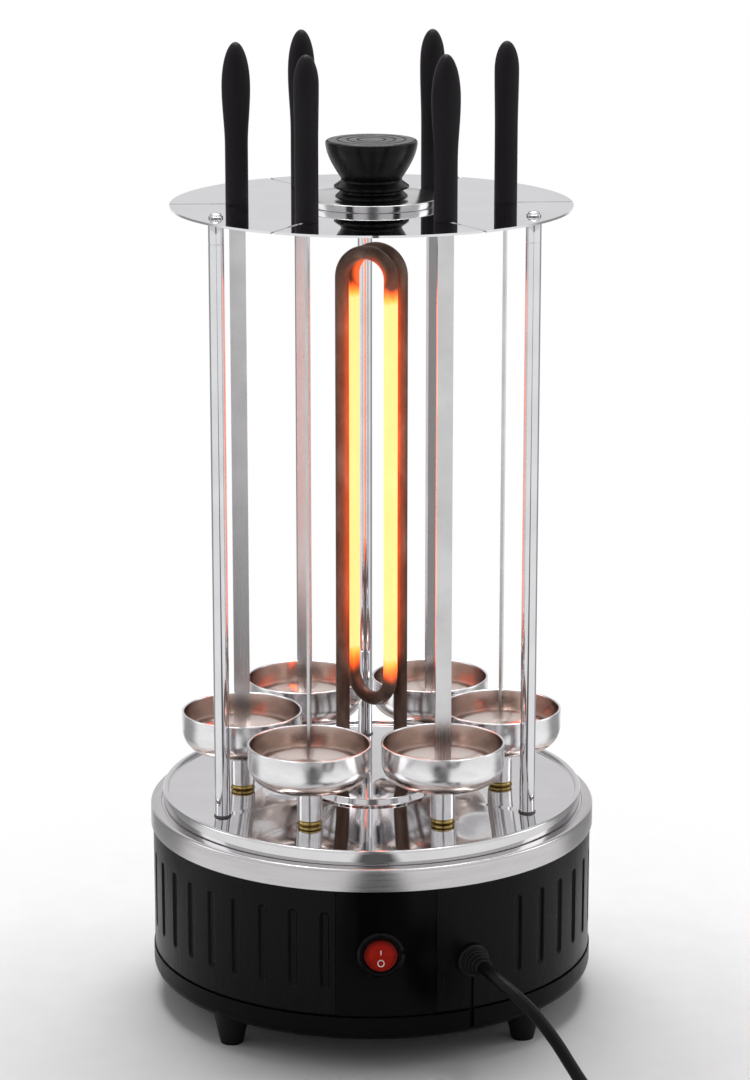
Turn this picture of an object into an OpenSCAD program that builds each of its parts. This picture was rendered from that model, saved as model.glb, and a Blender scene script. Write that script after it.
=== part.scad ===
// Vertical electric skewer grill. A round drive base turns six spindles, each with a drip bowl
// and a skewer, round a double hairpin heater, under a mirror plate carried by three posts.
// The origin is on the floor under the centre. Angles run from the front, -Y, towards +X.

/* [Housing] */
// Outside radius of the plastic housing
housing_r = 118.8; // [112:0.1:140]
// Height of the housing wall between the seam and the steel ring
housing_h = 68.5; // [66:0.5:100]
// Thickness of the housing wall
housing_wall = 2.4; // [2:0.1:3.5]
// Width of the ledge inside the top of the housing
ledge_w = 12; // [8:0.5:18]
// Thickness of that ledge
ledge_t = 2.4; // [1.6:0.1:4]

/* [Flutes] */
// Number of upright flutes round the housing
flute_count = 38; // [10:1:38]
// Angle between neighbouring flutes, in degrees
flute_pitch = 8.33; // [6:0.01:8.45]
// Angle of the first flute from the front
flute_first = -14; // [-20:0.1:-13.5]
// Width of a flute
flute_w = 5.6; // [3:0.1:8]
// Height of a flute
flute_h = 43; // [30:0.5:50]
// Depth of a flute
flute_depth = 1.3; // [0.5:0.1:1.5]
// Height of a flute's lower end above the seam
flute_rise = 13.5; // [8:0.5:15]

/* [Control panel and switch] */
// Angle of the panel's left edge
panel_from = -11.3; // [-12:0.1:-8]
// Angle of the panel's right edge
panel_to = 14.2; // [8:0.1:16]
// Thickness of the panel
panel_t = 1.6; // [1:0.1:1.8]
// Gap round the panel
panel_gap = 0.3; // [0.2:0.05:0.5]
// Height of the switch above the seam
switch_rise = 34; // [26:0.5:45]
// Radius of the switch's bezel
bezel_r = 12.2; // [11.6:0.1:14]
// How far the bezel stands in front of the panel
bezel_proud = 2; // [1:0.1:3]
// Radius of the switch's body and its hole
switch_body_r = 10.2; // [9.9:0.1:11]
// Depth of the switch's body behind the panel
switch_depth = 17; // [14:0.5:22]
// Radius of the rocker
rocker_r = 8.95; // [8:0.05:9]
// Tilt of each half of the rocker's face, in degrees
rocker_tilt = 8; // [5:0.5:10]

/* [Bottom cover and feet] */
// Height of the cover's side below the seam
cover_h = 14.1; // [12:0.1:22]
// How far the cover stands outside the housing
cover_proud = 0.6; // [0.2:0.1:1.2]
// Radius of the cover's lower edge
cover_edge_r = 5; // [3:0.5:8]
// Thickness of the cover
cover_wall = 2.4; // [2:0.1:3]
// Height of the lip inside the housing
lip_h = 4; // [2:0.5:6]
// Height of the dark seam line
seam_gap = 0.8; // [0.4:0.1:1.5]
// Number of air slots in the cover's floor
vent_count = 18; // [6:1:24]
// Length of an air slot
vent_len = 26; // [10:1:30]
// Width of an air slot
vent_w = 4; // [2:0.5:5]
// Radius at which the air slots start
vent_r = 46; // [42:1:50]
// Height of the feet below the cover
foot_h = 15.8; // [10:0.1:25]
// Radius of a foot at the cover
foot_r = 9.5; // [8:0.1:9.6]
// Radius of a foot on the floor
foot_low_r = 6; // [4:0.1:8]
// Distance of the feet's centres from the housing's side
foot_inset = 9.8; // [9.8:0.1:14]
// Radius of the stem that holds a foot in the cover
foot_stem_r = 3; // [2:0.1:4]

/* [Steel ring and tray] */
// Thickness of the ring's steel
ring_t = 1; // [0.6:0.1:1.5]
// Height of the ring's skirt
skirt_h = 12; // [9:0.5:16]
// Radial gap between the skirt and the housing
skirt_gap = 0.2; // [0.1:0.05:0.5]
// Radius of the ring's upper edge
ring_edge_r = 1.8; // [1.6:0.1:3]
// Width of the ring's flat top with its edge
ring_top_w = 6; // [5:0.1:8]
// Width of the groove between the ring and the tray's bead
groove_w = 0.8; // [0.4:0.1:1.5]
// Width of the tray's bead
bead_w = 2.8; // [2:0.1:4]
// Height of the bead above the tray's floor
bead_h = 5.6; // [3:0.1:10]
// Height of the tray's floor above the ring's top
tray_rise = 2; // [1:0.1:4]
// Thickness of the tray's sheet
tray_t = 0.8; // [0.5:0.1:1.2]
// Radius of the raised heater seat in the tray
seat_r = 35.5; // [30:0.5:40]
// Height of that seat
seat_h = 6; // [3:0.5:8]
// How far the seat's wall leans in
seat_lean = 1.6; // [0.5:0.1:3]

/* [Posts and top plate] */
// Radius of a post
post_r = 3.85; // [3.2:0.05:5]
// Length of a post between its seal and the plate
post_len = 320; // [300:1:360]
// Distance of the posts from the tray's edge
post_inset = 17.1; // [14:0.1:20]
// Radius of the dark seal under a post
seal_r = 5; // [4.6:0.1:7]
// Thickness of that seal
seal_t = 1.2; // [0.8:0.1:3]
// Radius of a post's threaded stud
stud_r = 2.5; // [2:0.1:3]
// Radius across the corners of a nut
nut_r = 4.6; // [4:0.1:6]
// Height of a nut
nut_h = 4; // [3:0.5:5]
// Radius of a post screw's head
screw_head_r = 3.8; // [3:0.1:5]
// Height of a post screw's head
screw_head_h = 2.6; // [1.5:0.1:3.5]
// Radius of a post screw's shank
screw_r = 1.5; // [1:0.1:2]
// Radius of the top plate
plate_r = 105.2; // [102:0.1:115]
// Thickness of the top plate
plate_t = 1.2; // [0.8:0.1:2]
// Radius of a skewer's hole in the plate
plate_hole_r = 5.6; // [5:0.1:6]
// Width of the slit from a hole to the rim
slit_w = 2.2; // [2:0.1:3.5]

/* [Knob] */
// Radius of the knob's rim
knob_r = 24; // [21:0.5:30]
// Height of the knob above its disc
knob_h = 29.5; // [26:0.5:40]
// Radius of the knob's two waists
knob_waist_r = 15.4; // [12:0.1:17]
// Radius of the ridge between the waists
knob_ridge_r = 19.6; // [18:0.1:20.5]
// Radius of the knob's foot
knob_foot_r = 18.9; // [17:0.1:20]
// Radius of the steel disc under the knob
disc_r = 35.5; // [28:0.5:45]
// Thickness of that disc
disc_t = 3.7; // [2:0.1:6]

/* [Skewers] */
// Width of a blade
blade_w = 8.5; // [6:0.1:8.8]
// Thickness of a blade
blade_t = 1.5; // [1:0.1:1.8]
// Width of a blade's blunt tip
blade_tip_w = 2; // [1:0.1:3]
// Length of the tapered tip
blade_taper = 12; // [6:0.5:20]
// Length of the tang inside the handle
tang_len = 36; // [20:1:45]
// Width of that tang
tang_w = 6; // [4:0.1:7]
// Gap between a handle and the plate
handle_gap = 0.8; // [0.5:0.1:3]
// Length of a handle
handle_len = 83; // [70:1:110]
// Greatest width of a handle
handle_w = 15.6; // [13:0.1:20]
// Greatest depth of a handle
handle_d = 12.8; // [11.5:0.1:16]
// Width and depth of a handle where it meets the blade
handle_neck = 12; // [10:0.1:13]
// Length of a handle's rounded end
handle_tip = 19; // [12:1:26]
// Length of the swell below that end
handle_swell = 38; // [20:1:44]

/* [Bowls] */
// Outside radius of a bowl
bowl_r = 32.6; // [26:0.1:34]
// Height of a bowl
bowl_h = 29; // [20:0.5:36]
// Radius of a bowl's lower corner
bowl_corner_r = 14; // [8:0.5:18]
// Thickness of a bowl's wall
bowl_t = 1; // [0.6:0.1:1.4]
// Radius of a bowl's rolled rim
rim_r = 0.8; // [0.6:0.05:1.2]
// Outside radius of a bowl's stem
stem_r = 6.65; // [6.2:0.05:8]
// Height of a bowl's stem
stem_h = 12.4; // [8:0.1:20]

/* [Spindles and gears] */
// Module of the gears
gear_module = 2; // [1.95:0.01:2.1]
// Teeth on the drive gear
drive_teeth = 52; // [50:1:54]
// Teeth on a spindle's gear
spindle_teeth = 18; // [17:1:20]
// Teeth on the motor's pinion
pinion_teeth = 12; // [12:1:13]
// Thickness of the gears
gear_h = 8; // [5:0.5:9]
// Play between meshed teeth
backlash = 0.5; // [0.3:0.05:0.7]
// Bore radius of the drive gear
drive_bore_r = 40; // [38:0.5:44]
// Radius of a spindle's shaft
shaft_r = 4; // [3:0.1:5]
// Radius of a spindle's socket end
socket_r = 5.55; // [5.2:0.05:5.8]
// Height of the socket end above the collar
socket_h = 11; // [8:0.5:20]
// Depth of the blade's slot below the top of the collar
slot_depth = 1.4; // [0:0.1:3]
// Play of a blade in its slot, across its width
slot_play = 0.5; // [0.3:0.05:0.8]
// Height of the beaded collar
collar_h = 5.1; // [4:0.1:8]
// Radius of a collar's beads
collar_bead_r = 1.1; // [0.8:0.1:1.3]
// Thickness of a bush's flange
bush_flange_t = 0.9; // [0.5:0.1:2]
// Running clearance of shafts, on the radius
run_gap = 0.06; // [0.03:0.01:0.1]
// Height of the gear deck above the seam
deck_rise = 56; // [52:0.5:58]
// Thickness of the gear deck
deck_t = 2; // [1.5:0.1:3]
// Gap between the deck and the gears
gear_lift = 2.5; // [1.5:0.1:4]
// Radius of the gear motor
motor_r = 25; // [20:0.5:28]
// Height of the gear motor
motor_h = 22; // [16:0.5:26]
// Radius of the motor's shaft
motor_shaft_r = 3; // [2:0.1:4]

/* [Heater] */
// Radius of the heater's tube
tube_r = 3.7; // [3:0.05:4.2]
// Distance of each outer leg from the centre, sideways
outer_leg_x = 17; // [15:0.5:22]
// Distance of each glowing leg from the centre, sideways
inner_leg_x = 9.6; // [8.5:0.1:10.5]
// Distance of each glowing leg from the centre, front to back
inner_leg_y = 11; // [9:0.5:13]
// Height of the arches' tops above the tray
arch_top = 301; // [280:1:310]
// Height of the lower bend's bottom above the tray
bend_bottom = 49.6; // [20:0.1:80]
// Radius of a ceramic insulator
ceramic_r = 6.5; // [5:0.1:8]

/* [Cord] */
// Diameter of the mains cord
cord_d = 6.6; // [6:0.1:7]
// Angle of the strain relief from the front
relief_angle = 23.7; // [20:0.1:30]
// Height of the strain relief above the seam
relief_rise = 26.6; // [20:0.1:34]
// How far the strain relief stands out
relief_out = 14; // [12:0.5:24]
// Radius of the strain relief's flange
relief_flange_r = 8.9; // [8:0.1:11]

/* [Hidden] */
$fn = 96;
PLACES = [1:6];
function each_place(name) = [for (n = PLACES) str(name, n)];

// Cuts run past a face by this much, and hidden joins overlap by it
cut = 1;
// Clearance of a part that is fixed in its hole
fit_gap = 0.1;

// Heights above the floor
z_cover = foot_h;
z_seam = z_cover + cover_h;
z_ring = z_seam + housing_h;
z_ring_top = z_ring + skirt_h;
z_ledge = z_ring_top - ring_t - tray_t;
z_tray = z_ring_top + tray_rise;
z_bead = z_tray + bead_h;
z_seat = z_tray + seat_h;
z_post = z_tray + seal_t;
z_plate = z_post + post_len;
z_plate_top = z_plate + plate_t;
z_disc = z_plate_top + disc_t;
z_handle = z_plate_top + handle_gap;
z_deck = z_seam + deck_rise;
z_deck_top = z_deck + deck_t;
z_gear = z_deck_top + gear_lift;
z_collar = z_tray + bush_flange_t;
z_stem = z_collar + collar_h;
z_bowl = z_stem + stem_h;
z_slot = z_stem - slot_depth;
z_switch = z_seam + switch_rise;
z_relief = z_seam + relief_rise;

// Radii from the centre
cover_r = housing_r + cover_proud;
housing_in_r = housing_r - housing_wall;
ring_r = housing_r + skirt_gap + ring_t;
tray_r = ring_r - ring_top_w - groove_w - bead_w;
foot_circle_r = housing_r - foot_inset;
post_circle_r = tray_r - post_inset;
drive_r = drive_teeth * gear_module / 2;
spindle_circle_r = drive_r + spindle_teeth * gear_module / 2;
pinion_circle_r = drive_r + pinion_teeth * gear_module / 2;

// Turn of each blade about its own axis, in degrees
blade_turns = [83, 12, 80, 55, 25, 4];
foot_angles = [45, 135, 225, 315];
post_angles = [-60, 60, 180];
pinion_angle = 180;

function place_angle(n) = 60 * n - 90;

function polar(r, a, z) = [r * sin(a), -r * cos(a), z];

// Moves to a radius and an angle, with -Y pointing outwards
module at(r, a, z = 0) {
    rotate([0, 0, a]) translate([0, -r, z]) children();
}

module at_place(n) {
    at(spindle_circle_r, place_angle(n)) children();
}

module pipe(r, bore_r, h) {
    difference() {
        cylinder(h = h, r = r);
        translate([0, 0, -cut]) cylinder(h = h + 2 * cut, r = bore_r);
    }
}

// A slot with round ends, standing up from z = 0 and cut inwards from y = 0
module upright_slot(w, h, depth) {
    translate([0, depth, 0]) rotate([90, 0, 0]) linear_extrude(depth + cut) {
        translate([-w / 2, w / 2]) square([w, h - w]);
        for (z = [w / 2, h - w / 2]) translate([0, z]) circle(w / 2);
    }
}

// A slot with round ends, lying along -Y from y = 0
module flat_slot(w, length, h) {
    linear_extrude(h) {
        translate([-w / 2, w / 2 - length]) square([w, length - w]);
        for (y = [-w / 2, w / 2 - length]) translate([0, y]) circle(w / 2);
    }
}

// A curved piece of wall between two angles from the front
module wall_piece(r, t, a0, a1, z0, z1) {
    rotate([0, 0, a0 - 90]) rotate_extrude(angle = a1 - a0)
        translate([r - t, z0]) square([t, z1 - z0]);
}

// A screw with a domed head above z = 0 and its shank below
module dome_screw(head_r, head_h, r, length) {
    dome_r = (head_r * head_r + head_h * head_h) / (2 * head_h) * 1.15;
    difference() {
        intersection() {
            cylinder(h = head_h, r = head_r);
            translate([0, 0, head_h - dome_r]) sphere(dome_r);
        }
        for (a = [0, 90]) rotate([0, 0, a])
            translate([-head_r * 0.55, -head_r * 0.1, head_h * 0.55])
                cube([head_r * 1.1, head_r * 0.2, head_h]);
    }
    translate([0, 0, -length]) cylinder(h = length, r = r);
}

// Housing: a fluted wall with a ledge for the tray and four screw bosses
boss_angles = [-112, -68, 68, 112];
boss_r = 4.5;
boss_h = 40;
boss_bore_r = 1.4;
boss_circle_r = housing_in_r - cover_wall - boss_r - 2;
panel_top = z_ring + skirt_h / 2;
relief_neck_r = relief_flange_r - 3;
relief_in = 8;
notch_w = 2;
notch_depth = 1.2;
notch_rise = 3.6;

module screw_boss() {
    z_floor = z_cover + cover_wall;
    difference() {
        union() {
            translate([0, 0, z_floor]) cylinder(h = boss_h, r = boss_r);
            translate([-notch_w / 2, -(housing_in_r - boss_circle_r + cut), z_seam + lip_h + cut])
                cube([notch_w, housing_in_r - boss_circle_r + cut, boss_h / 2]);
        }
        translate([0, 0, z_floor - cut]) cylinder(h = boss_h / 2, r = boss_bore_r);
    }
}

module relief_notch() {
    at(housing_r + cover_proud, relief_angle) translate([-notch_w / 2, -cut, z_cover + notch_rise])
        cube([notch_w, notch_depth + cover_proud + cut, z_relief - z_cover - notch_rise]);
}

module base_housing() {
    color([0.07, 0.07, 0.08]) difference() {
        union() {
            translate([0, 0, z_seam]) pipe(housing_r, housing_in_r, z_ledge - z_seam);
            translate([0, 0, z_ledge - ledge_t])
                pipe(housing_r - housing_wall / 2, housing_in_r - ledge_w, ledge_t);
            for (a = boss_angles) at(boss_circle_r, a) screw_boss();
        }
        for (i = [0 : flute_count - 1])
            at(housing_r, flute_first - i * flute_pitch, z_seam + flute_rise)
                upright_slot(flute_w, flute_h, flute_depth);
        wall_piece(housing_r + cut, panel_t + cut, panel_from, panel_to, z_seam - cut, panel_top);
        at(housing_r, 0, z_switch) radial_hole(switch_body_r + fit_gap);
        at(housing_r, relief_angle, z_relief) radial_hole(relief_neck_r + fit_gap);
        relief_notch();
    }
}

module radial_hole(r) {
    rotate([90, 0, 0]) translate([0, 0, -2 * housing_wall - cut])
        cylinder(h = 3 * housing_wall + 2 * cut, r = r);
}

module control_panel() {
    side_gap = panel_gap / housing_r * 180 / PI;
    color([0.04, 0.04, 0.045]) difference() {
        wall_piece(housing_r, panel_t, panel_from + side_gap, panel_to - side_gap,
                   z_seam, panel_top - panel_gap);
        at(housing_r, 0, z_switch) radial_hole(switch_body_r + fit_gap);
    }
}

// Bottom cover: a dish with a round lower edge, a lip, pillars for the deck and air slots
pillar_r = 5;
pillar_bore_r = 1.6;
pillar_circle_r = spindle_circle_r + 26;
screw_len = 5 * cover_wall;

module cover_outline() {
    square([cover_r - cover_edge_r, cover_h - seam_gap]);
    translate([0, cover_edge_r]) square([cover_r, cover_h - seam_gap - cover_edge_r]);
    translate([cover_r - cover_edge_r, cover_edge_r]) circle(cover_edge_r);
}

module bottom_cover() {
    in_r = housing_in_r - fit_gap - cover_wall;
    color([0.05, 0.05, 0.055]) difference() {
        union() {
            translate([0, 0, z_cover]) rotate_extrude() difference() {
                union() {
                    cover_outline();
                    translate([0, cover_edge_r])
                        square([housing_in_r + housing_wall / 2, cover_h - cover_edge_r]);
                    translate([0, cover_edge_r])
                        square([housing_in_r - fit_gap, cover_h + lip_h - cover_edge_r]);
                }
                translate([0, cover_wall]) square([in_r, cover_h + lip_h]);
            }
            for (a = foot_angles) at(pillar_circle_r, a, z_cover)
                cylinder(h = z_deck - z_cover, r = pillar_r);
        }
        for (a = foot_angles) {
            at(pillar_circle_r, a, z_deck - screw_len - cut)
                cylinder(h = screw_len + 2 * cut, r = pillar_bore_r);
            at(foot_circle_r, a, z_cover - cut)
                cylinder(h = cover_wall + 2 * cut, r = foot_stem_r + fit_gap);
        }
        for (a = boss_angles) at(boss_circle_r, a, z_cover - cut) {
            cylinder(h = cover_wall + 2 * cut, r = screw_r + fit_gap);
            cylinder(h = cover_wall / 2 + cut, r = screw_head_r + fit_gap);
        }
        for (i = [0 : vent_count - 1])
            at(vent_r, i * 360 / vent_count, z_cover - cut)
                flat_slot(vent_w, vent_len, cover_wall + 2 * cut);
        relief_notch();
    }
}

module feet() {
    rise = cover_edge_r - 0.5;
    slope = (foot_r - foot_low_r) / foot_h;
    color([0.05, 0.05, 0.055]) {
        difference() {
            for (a = foot_angles) at(foot_circle_r, a)
                cylinder(h = foot_h + rise, r1 = foot_low_r, r2 = foot_low_r + slope * (foot_h + rise));
            translate([0, 0, z_cover]) rotate_extrude() cover_outline();
        }
        for (a = foot_angles) at(foot_circle_r, a, foot_h - cut)
            cylinder(h = cover_wall + 2 * cut, r = foot_stem_r);
    }
}

module cover_screws() {
    color([0.6, 0.6, 0.62]) for (a = boss_angles) at(boss_circle_r, a, z_cover + cover_wall / 2)
        rotate([180, 0, 0]) {
            dome_screw(screw_head_r, cover_wall / 2, boss_bore_r - fit_gap / 2, screw_len);
        }
}

// Steel ring: a skirt over the housing and a flat top with a round edge
module trim_ring() {
    flat_w = ring_top_w - ring_edge_r;
    color([0.78, 0.78, 0.79]) rotate_extrude() {
        translate([ring_r - ring_t, z_ring]) square([ring_t, skirt_h - ring_edge_r]);
        translate([ring_r - ring_top_w, z_ring_top - ring_t]) square([flat_w, ring_t]);
        translate([ring_r - ring_edge_r, z_ring_top - ring_edge_r]) intersection() {
            difference() {
                circle(ring_edge_r);
                circle(ring_edge_r - ring_t);
            }
            square(2 * ring_edge_r);
        }
    }
}

// Drip tray: a mirror floor inside a rolled bead, with a raised seat for the heater
bush_r = 6.1;

module drip_tray() {
    flange_w = ring_top_w - ring_edge_r + groove_w;
    color([0.85, 0.85, 0.86]) difference() {
        union() {
            rotate_extrude() {
                translate([seat_r - tray_t, z_tray - tray_t])
                    square([tray_r + bead_w / 2 - seat_r + tray_t, tray_t]);
                translate([tray_r, z_ledge]) square([bead_w, z_bead - bead_w / 2 - z_ledge]);
                translate([tray_r + bead_w / 2, z_bead - bead_w / 2]) circle(bead_w / 2);
                translate([tray_r + bead_w / 2, z_ledge]) square([bead_w / 2 + flange_w, tray_t]);
                translate([0, z_seat - tray_t]) square([seat_r - seat_lean, tray_t]);
                polygon([[seat_r, z_tray], [seat_r - seat_lean, z_seat],
                         [seat_r - seat_lean - tray_t, z_seat], [seat_r - tray_t, z_tray - tray_t],
                         [seat_r, z_tray - tray_t]]);
            }
        }
        for (n = PLACES) at_place(n) tray_hole(bush_r + fit_gap);
        for (a = post_angles) at(post_circle_r, a) tray_hole(stud_r + fit_gap);
        for (x = [-outer_leg_x, outer_leg_x]) translate([x, 0, 0]) tray_hole(tube_r + 4 * fit_gap);
    }
}

module tray_hole(r) {
    translate([0, 0, z_tray - tray_t - cut]) cylinder(h = seat_h + tray_t + 2 * cut, r = r);
}

// Gear deck: a plate with spindle bosses and a collar that the drive gear turns on
deck_r = housing_in_r - 4;
collar_r = drive_bore_r - run_gap;
collar_wall = 4;
collar_top = z_gear + gear_h + 1;
deck_boss_r = shaft_r + 3;
deck_boss_h = 6;
pinion_hole_r = motor_shaft_r + 3;
motor_screw_x = motor_r + 6;
ear_turn = 45;
ear_t = 1.5;

module gear_deck() {
    color([0.68, 0.69, 0.7]) difference() {
        union() {
            translate([0, 0, z_deck]) cylinder(h = deck_t, r = deck_r);
            translate([0, 0, z_deck]) cylinder(h = collar_top - z_deck, r = collar_r);
            translate([0, 0, z_deck]) cylinder(h = z_gear - fit_gap - z_deck, r = collar_r + 4);
            for (n = PLACES) at_place(n) translate([0, 0, z_deck - deck_boss_h])
                cylinder(h = deck_boss_h + deck_t, r = deck_boss_r);
        }
        translate([0, 0, z_deck - cut])
            cylinder(h = collar_top - z_deck + 2 * cut, r = collar_r - collar_wall);
        for (n = PLACES) at_place(n) translate([0, 0, z_deck - deck_boss_h - cut])
            cylinder(h = deck_boss_h + deck_t + 2 * cut, r = shaft_r + run_gap);
        for (a = foot_angles) at(pillar_circle_r, a, z_deck - cut)
            cylinder(h = deck_t + 2 * cut, r = pillar_bore_r);
        at(pinion_circle_r, pinion_angle, z_deck - cut) {
            cylinder(h = deck_t + 2 * cut, r = pinion_hole_r);
            each_ear() cylinder(h = deck_t + 2 * cut, r = screw_r + fit_gap);
        }
    }
}

// The two screw places of the motor's ears, on a line that clears the spindles
module each_ear() {
    rotate([0, 0, ear_turn]) for (x = [-motor_screw_x, motor_screw_x]) translate([x, 0, 0])
        children();
}

module deck_screws() {
    color([0.75, 0.75, 0.77]) {
        for (a = foot_angles) at(pillar_circle_r, a, z_deck_top)
            dome_screw(screw_head_r, screw_head_h, pillar_bore_r - fit_gap, screw_len);
        at(pinion_circle_r, pinion_angle, z_deck - ear_t) each_ear() rotate([180, 0, 0])
            dome_screw(screw_head_r, screw_head_h, screw_r, ear_t + deck_t);
    }
}

// Posts: steel rods with a stud at the foot and a tapped hole at the top
stud_len = seal_t + tray_t + nut_h + 2;
tap_depth = 16;

module post(a) {
    color([0.82, 0.82, 0.83]) at(post_circle_r, a, z_post) difference() {
        union() {
            cylinder(h = post_len, r = post_r);
            translate([0, 0, -stud_len]) cylinder(h = stud_len + cut, r = stud_r);
        }
        translate([0, 0, post_len - tap_depth]) cylinder(h = tap_depth + cut, r = screw_r + fit_gap);
    }
}

module post_seals() {
    color([0.12, 0.12, 0.12]) for (a = post_angles) at(post_circle_r, a, z_tray)
        pipe(seal_r, stud_r + fit_gap, seal_t);
}

module post_nuts() {
    color([0.7, 0.7, 0.72]) for (a = post_angles)
        at(post_circle_r, a, z_tray - tray_t - nut_h) difference() {
            cylinder(h = nut_h, r = nut_r, $fn = 6);
            translate([0, 0, -cut]) cylinder(h = nut_h + 2 * cut, r = stud_r + fit_gap);
        }
}

module post_screws() {
    color([0.8, 0.8, 0.82]) for (a = post_angles) at(post_circle_r, a, z_plate_top)
        dome_screw(screw_head_r, screw_head_h, screw_r, plate_t + tap_depth - 4);
}

// Top plate: a thin mirror disc with a hole and a slit to the rim for each skewer
knob_screw_r = 2.5;

module top_plate() {
    color([0.85, 0.85, 0.87]) translate([0, 0, z_plate]) difference() {
        cylinder(h = plate_t, r = plate_r);
        translate([0, 0, -cut]) {
            for (n = PLACES) at_place(n) {
                cylinder(h = plate_t + 2 * cut, r = plate_hole_r);
                translate([-slit_w / 2, -plate_r, 0]) cube([slit_w, plate_r, plate_t + 2 * cut]);
            }
            for (a = post_angles) at(post_circle_r, a)
                cylinder(h = plate_t + 2 * cut, r = screw_r + fit_gap);
            cylinder(h = plate_t + 2 * cut, r = knob_screw_r + fit_gap);
        }
    }
}

// Knob: a cup-shaped grip on two waists, on a steel disc
knob_foot_h = 0.8;
knob_low_waist_z = 2.7;
knob_ridge_z = 5.2;
knob_waist_z = 9.3;
knob_rim_h = 1.8;
knob_edge_r = 1.6;
knob_groove = 0.7;
knob_bore_depth = 16;

// Radius of the cup's side at a height between the upper waist and the rim
function cup_side(z) = let (t = (z - knob_waist_z) / (knob_h - knob_rim_h - knob_waist_z))
    knob_waist_r + (knob_r - knob_waist_r) * (0.8 * sin(90 * t) + 0.2 * t);

module knob() {
    cup_steps = 6;
    cup_h = knob_h - knob_rim_h - knob_waist_z;
    color([0.05, 0.05, 0.055]) translate([0, 0, z_disc]) difference() {
        rotate_extrude() polygon(concat(
            [[0, 0], [knob_foot_r, 0], [knob_foot_r, knob_foot_h],
             [knob_waist_r, knob_low_waist_z],
             [knob_ridge_r, knob_ridge_z - 0.5], [knob_ridge_r, knob_ridge_z + 0.5],
             [knob_waist_r, knob_waist_z - 0.8]],
            [for (i = [0 : cup_steps]) let (z = knob_waist_z + cup_h * i / cup_steps)
                [cup_side(z), z]],
            [for (a = [0 : 30 : 90]) [knob_r, knob_h] + knob_edge_r * [cos(a) - 1, sin(a) - 1]],
            [[knob_r - 4, knob_h], [0, knob_h]]));
        for (r = [knob_r * 0.3, knob_r * 0.52, knob_r * 0.74]) translate([0, 0, knob_h])
            rotate_extrude() translate([r, 0]) circle(knob_groove, $fn = 24);
        translate([0, 0, -cut]) cylinder(h = knob_bore_depth + cut, r = knob_screw_r + fit_gap);
    }
}

module knob_disc() {
    color([0.8, 0.8, 0.82]) translate([0, 0, z_plate_top]) difference() {
        rotate_extrude() {
            square([disc_r - disc_t / 2, disc_t]);
            translate([disc_r - disc_t / 2, disc_t / 2]) circle(disc_t / 2);
        }
        translate([0, 0, -cut]) cylinder(h = disc_t + 2 * cut, r = knob_screw_r + fit_gap);
    }
}

module knob_screw() {
    color([0.7, 0.7, 0.72]) translate([0, 0, z_plate]) rotate([180, 0, 0])
        dome_screw(knob_screw_r * 2, screw_head_h, knob_screw_r, plate_t + disc_t + knob_bore_depth - 3);
}

// Gears: involute teeth, each gear with a tooth on its own +X
pressure_angle = 20;
addendum = 0.85 * gear_module;
dedendum = 1.15 * gear_module;

function involute(a) = tan(a) * 180 / PI - a;
function tooth_half(teeth, r) = let (
    pitch_r = teeth * gear_module / 2,
    base_r = pitch_r * cos(pressure_angle),
    a = r > base_r ? acos(base_r / r) : 0)
    90 / teeth - backlash / 4 / pitch_r * 180 / PI + involute(pressure_angle) - involute(a);
function gear_points(teeth) = let (
    pitch_r = teeth * gear_module / 2,
    radii = [pitch_r - dedendum, pitch_r - dedendum / 2, pitch_r, pitch_r + addendum / 2,
             pitch_r + addendum])
    [for (k = [0 : teeth - 1], side = [-1, 1], j = [0 : len(radii) - 1])
        let (r = radii[side < 0 ? j : len(radii) - 1 - j],
             a = k * 360 / teeth + side * tooth_half(teeth, r))
        [r * cos(a), r * sin(a)]];
// Turn that puts a gear in mesh with the drive gear, for a place angle from the front
function mesh_turn(teeth, place) = let (
    tooth_step = 360 / drive_teeth,
    past = (place - 90) / tooth_step - floor((place - 90) / tooth_step))
    180 + (past + 0.5) * 360 / teeth;

module meshed_gear(teeth, place) {
    rotate([0, 0, mesh_turn(teeth, place) - 90]) linear_extrude(gear_h) polygon(gear_points(teeth));
}

module drive_gear() {
    color([0.93, 0.92, 0.86]) translate([0, 0, z_gear]) difference() {
        linear_extrude(gear_h) polygon(gear_points(drive_teeth));
        translate([0, 0, -cut]) cylinder(h = gear_h + 2 * cut, r = drive_bore_r);
    }
}

// Spindle: a brass shaft with its gear, a beaded collar and a slotted socket for the blade
module spindle(n) {
    core_r = stem_r - collar_bead_r - 0.3;
    cap_h = 0.4;
    bead_step = (collar_h - cap_h) / 2;
    hub_top = z_gear + gear_h + 1.5;
    color([0.72, 0.58, 0.3]) at_place(n) difference() {
        union() {
            translate([0, 0, z_deck - deck_boss_h]) cylinder(h = z_stem - z_deck + deck_boss_h, r = shaft_r);
            translate([0, 0, z_deck_top + fit_gap])
                cylinder(h = hub_top - z_deck_top - fit_gap, r = shaft_r + 3);
            translate([0, 0, z_gear]) meshed_gear(spindle_teeth, place_angle(n));
            translate([0, 0, z_collar]) rotate_extrude() {
                square([core_r, collar_h]);
                for (i = [0, 1]) translate([core_r, bead_step * (i + 0.5)]) circle(collar_bead_r);
                translate([0, collar_h - cap_h]) square([stem_r - 0.3, cap_h]);
            }
            translate([0, 0, z_stem]) cylinder(h = socket_h, r = socket_r);
        }
        rotate([0, 0, blade_turns[n - 1] - place_angle(n)])
            translate([-(blade_w + slot_play) / 2, -(blade_t + slot_play) / 2, z_slot])
                cube([blade_w + slot_play, blade_t + slot_play, socket_h + slot_depth + cut]);
    }
}

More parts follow.
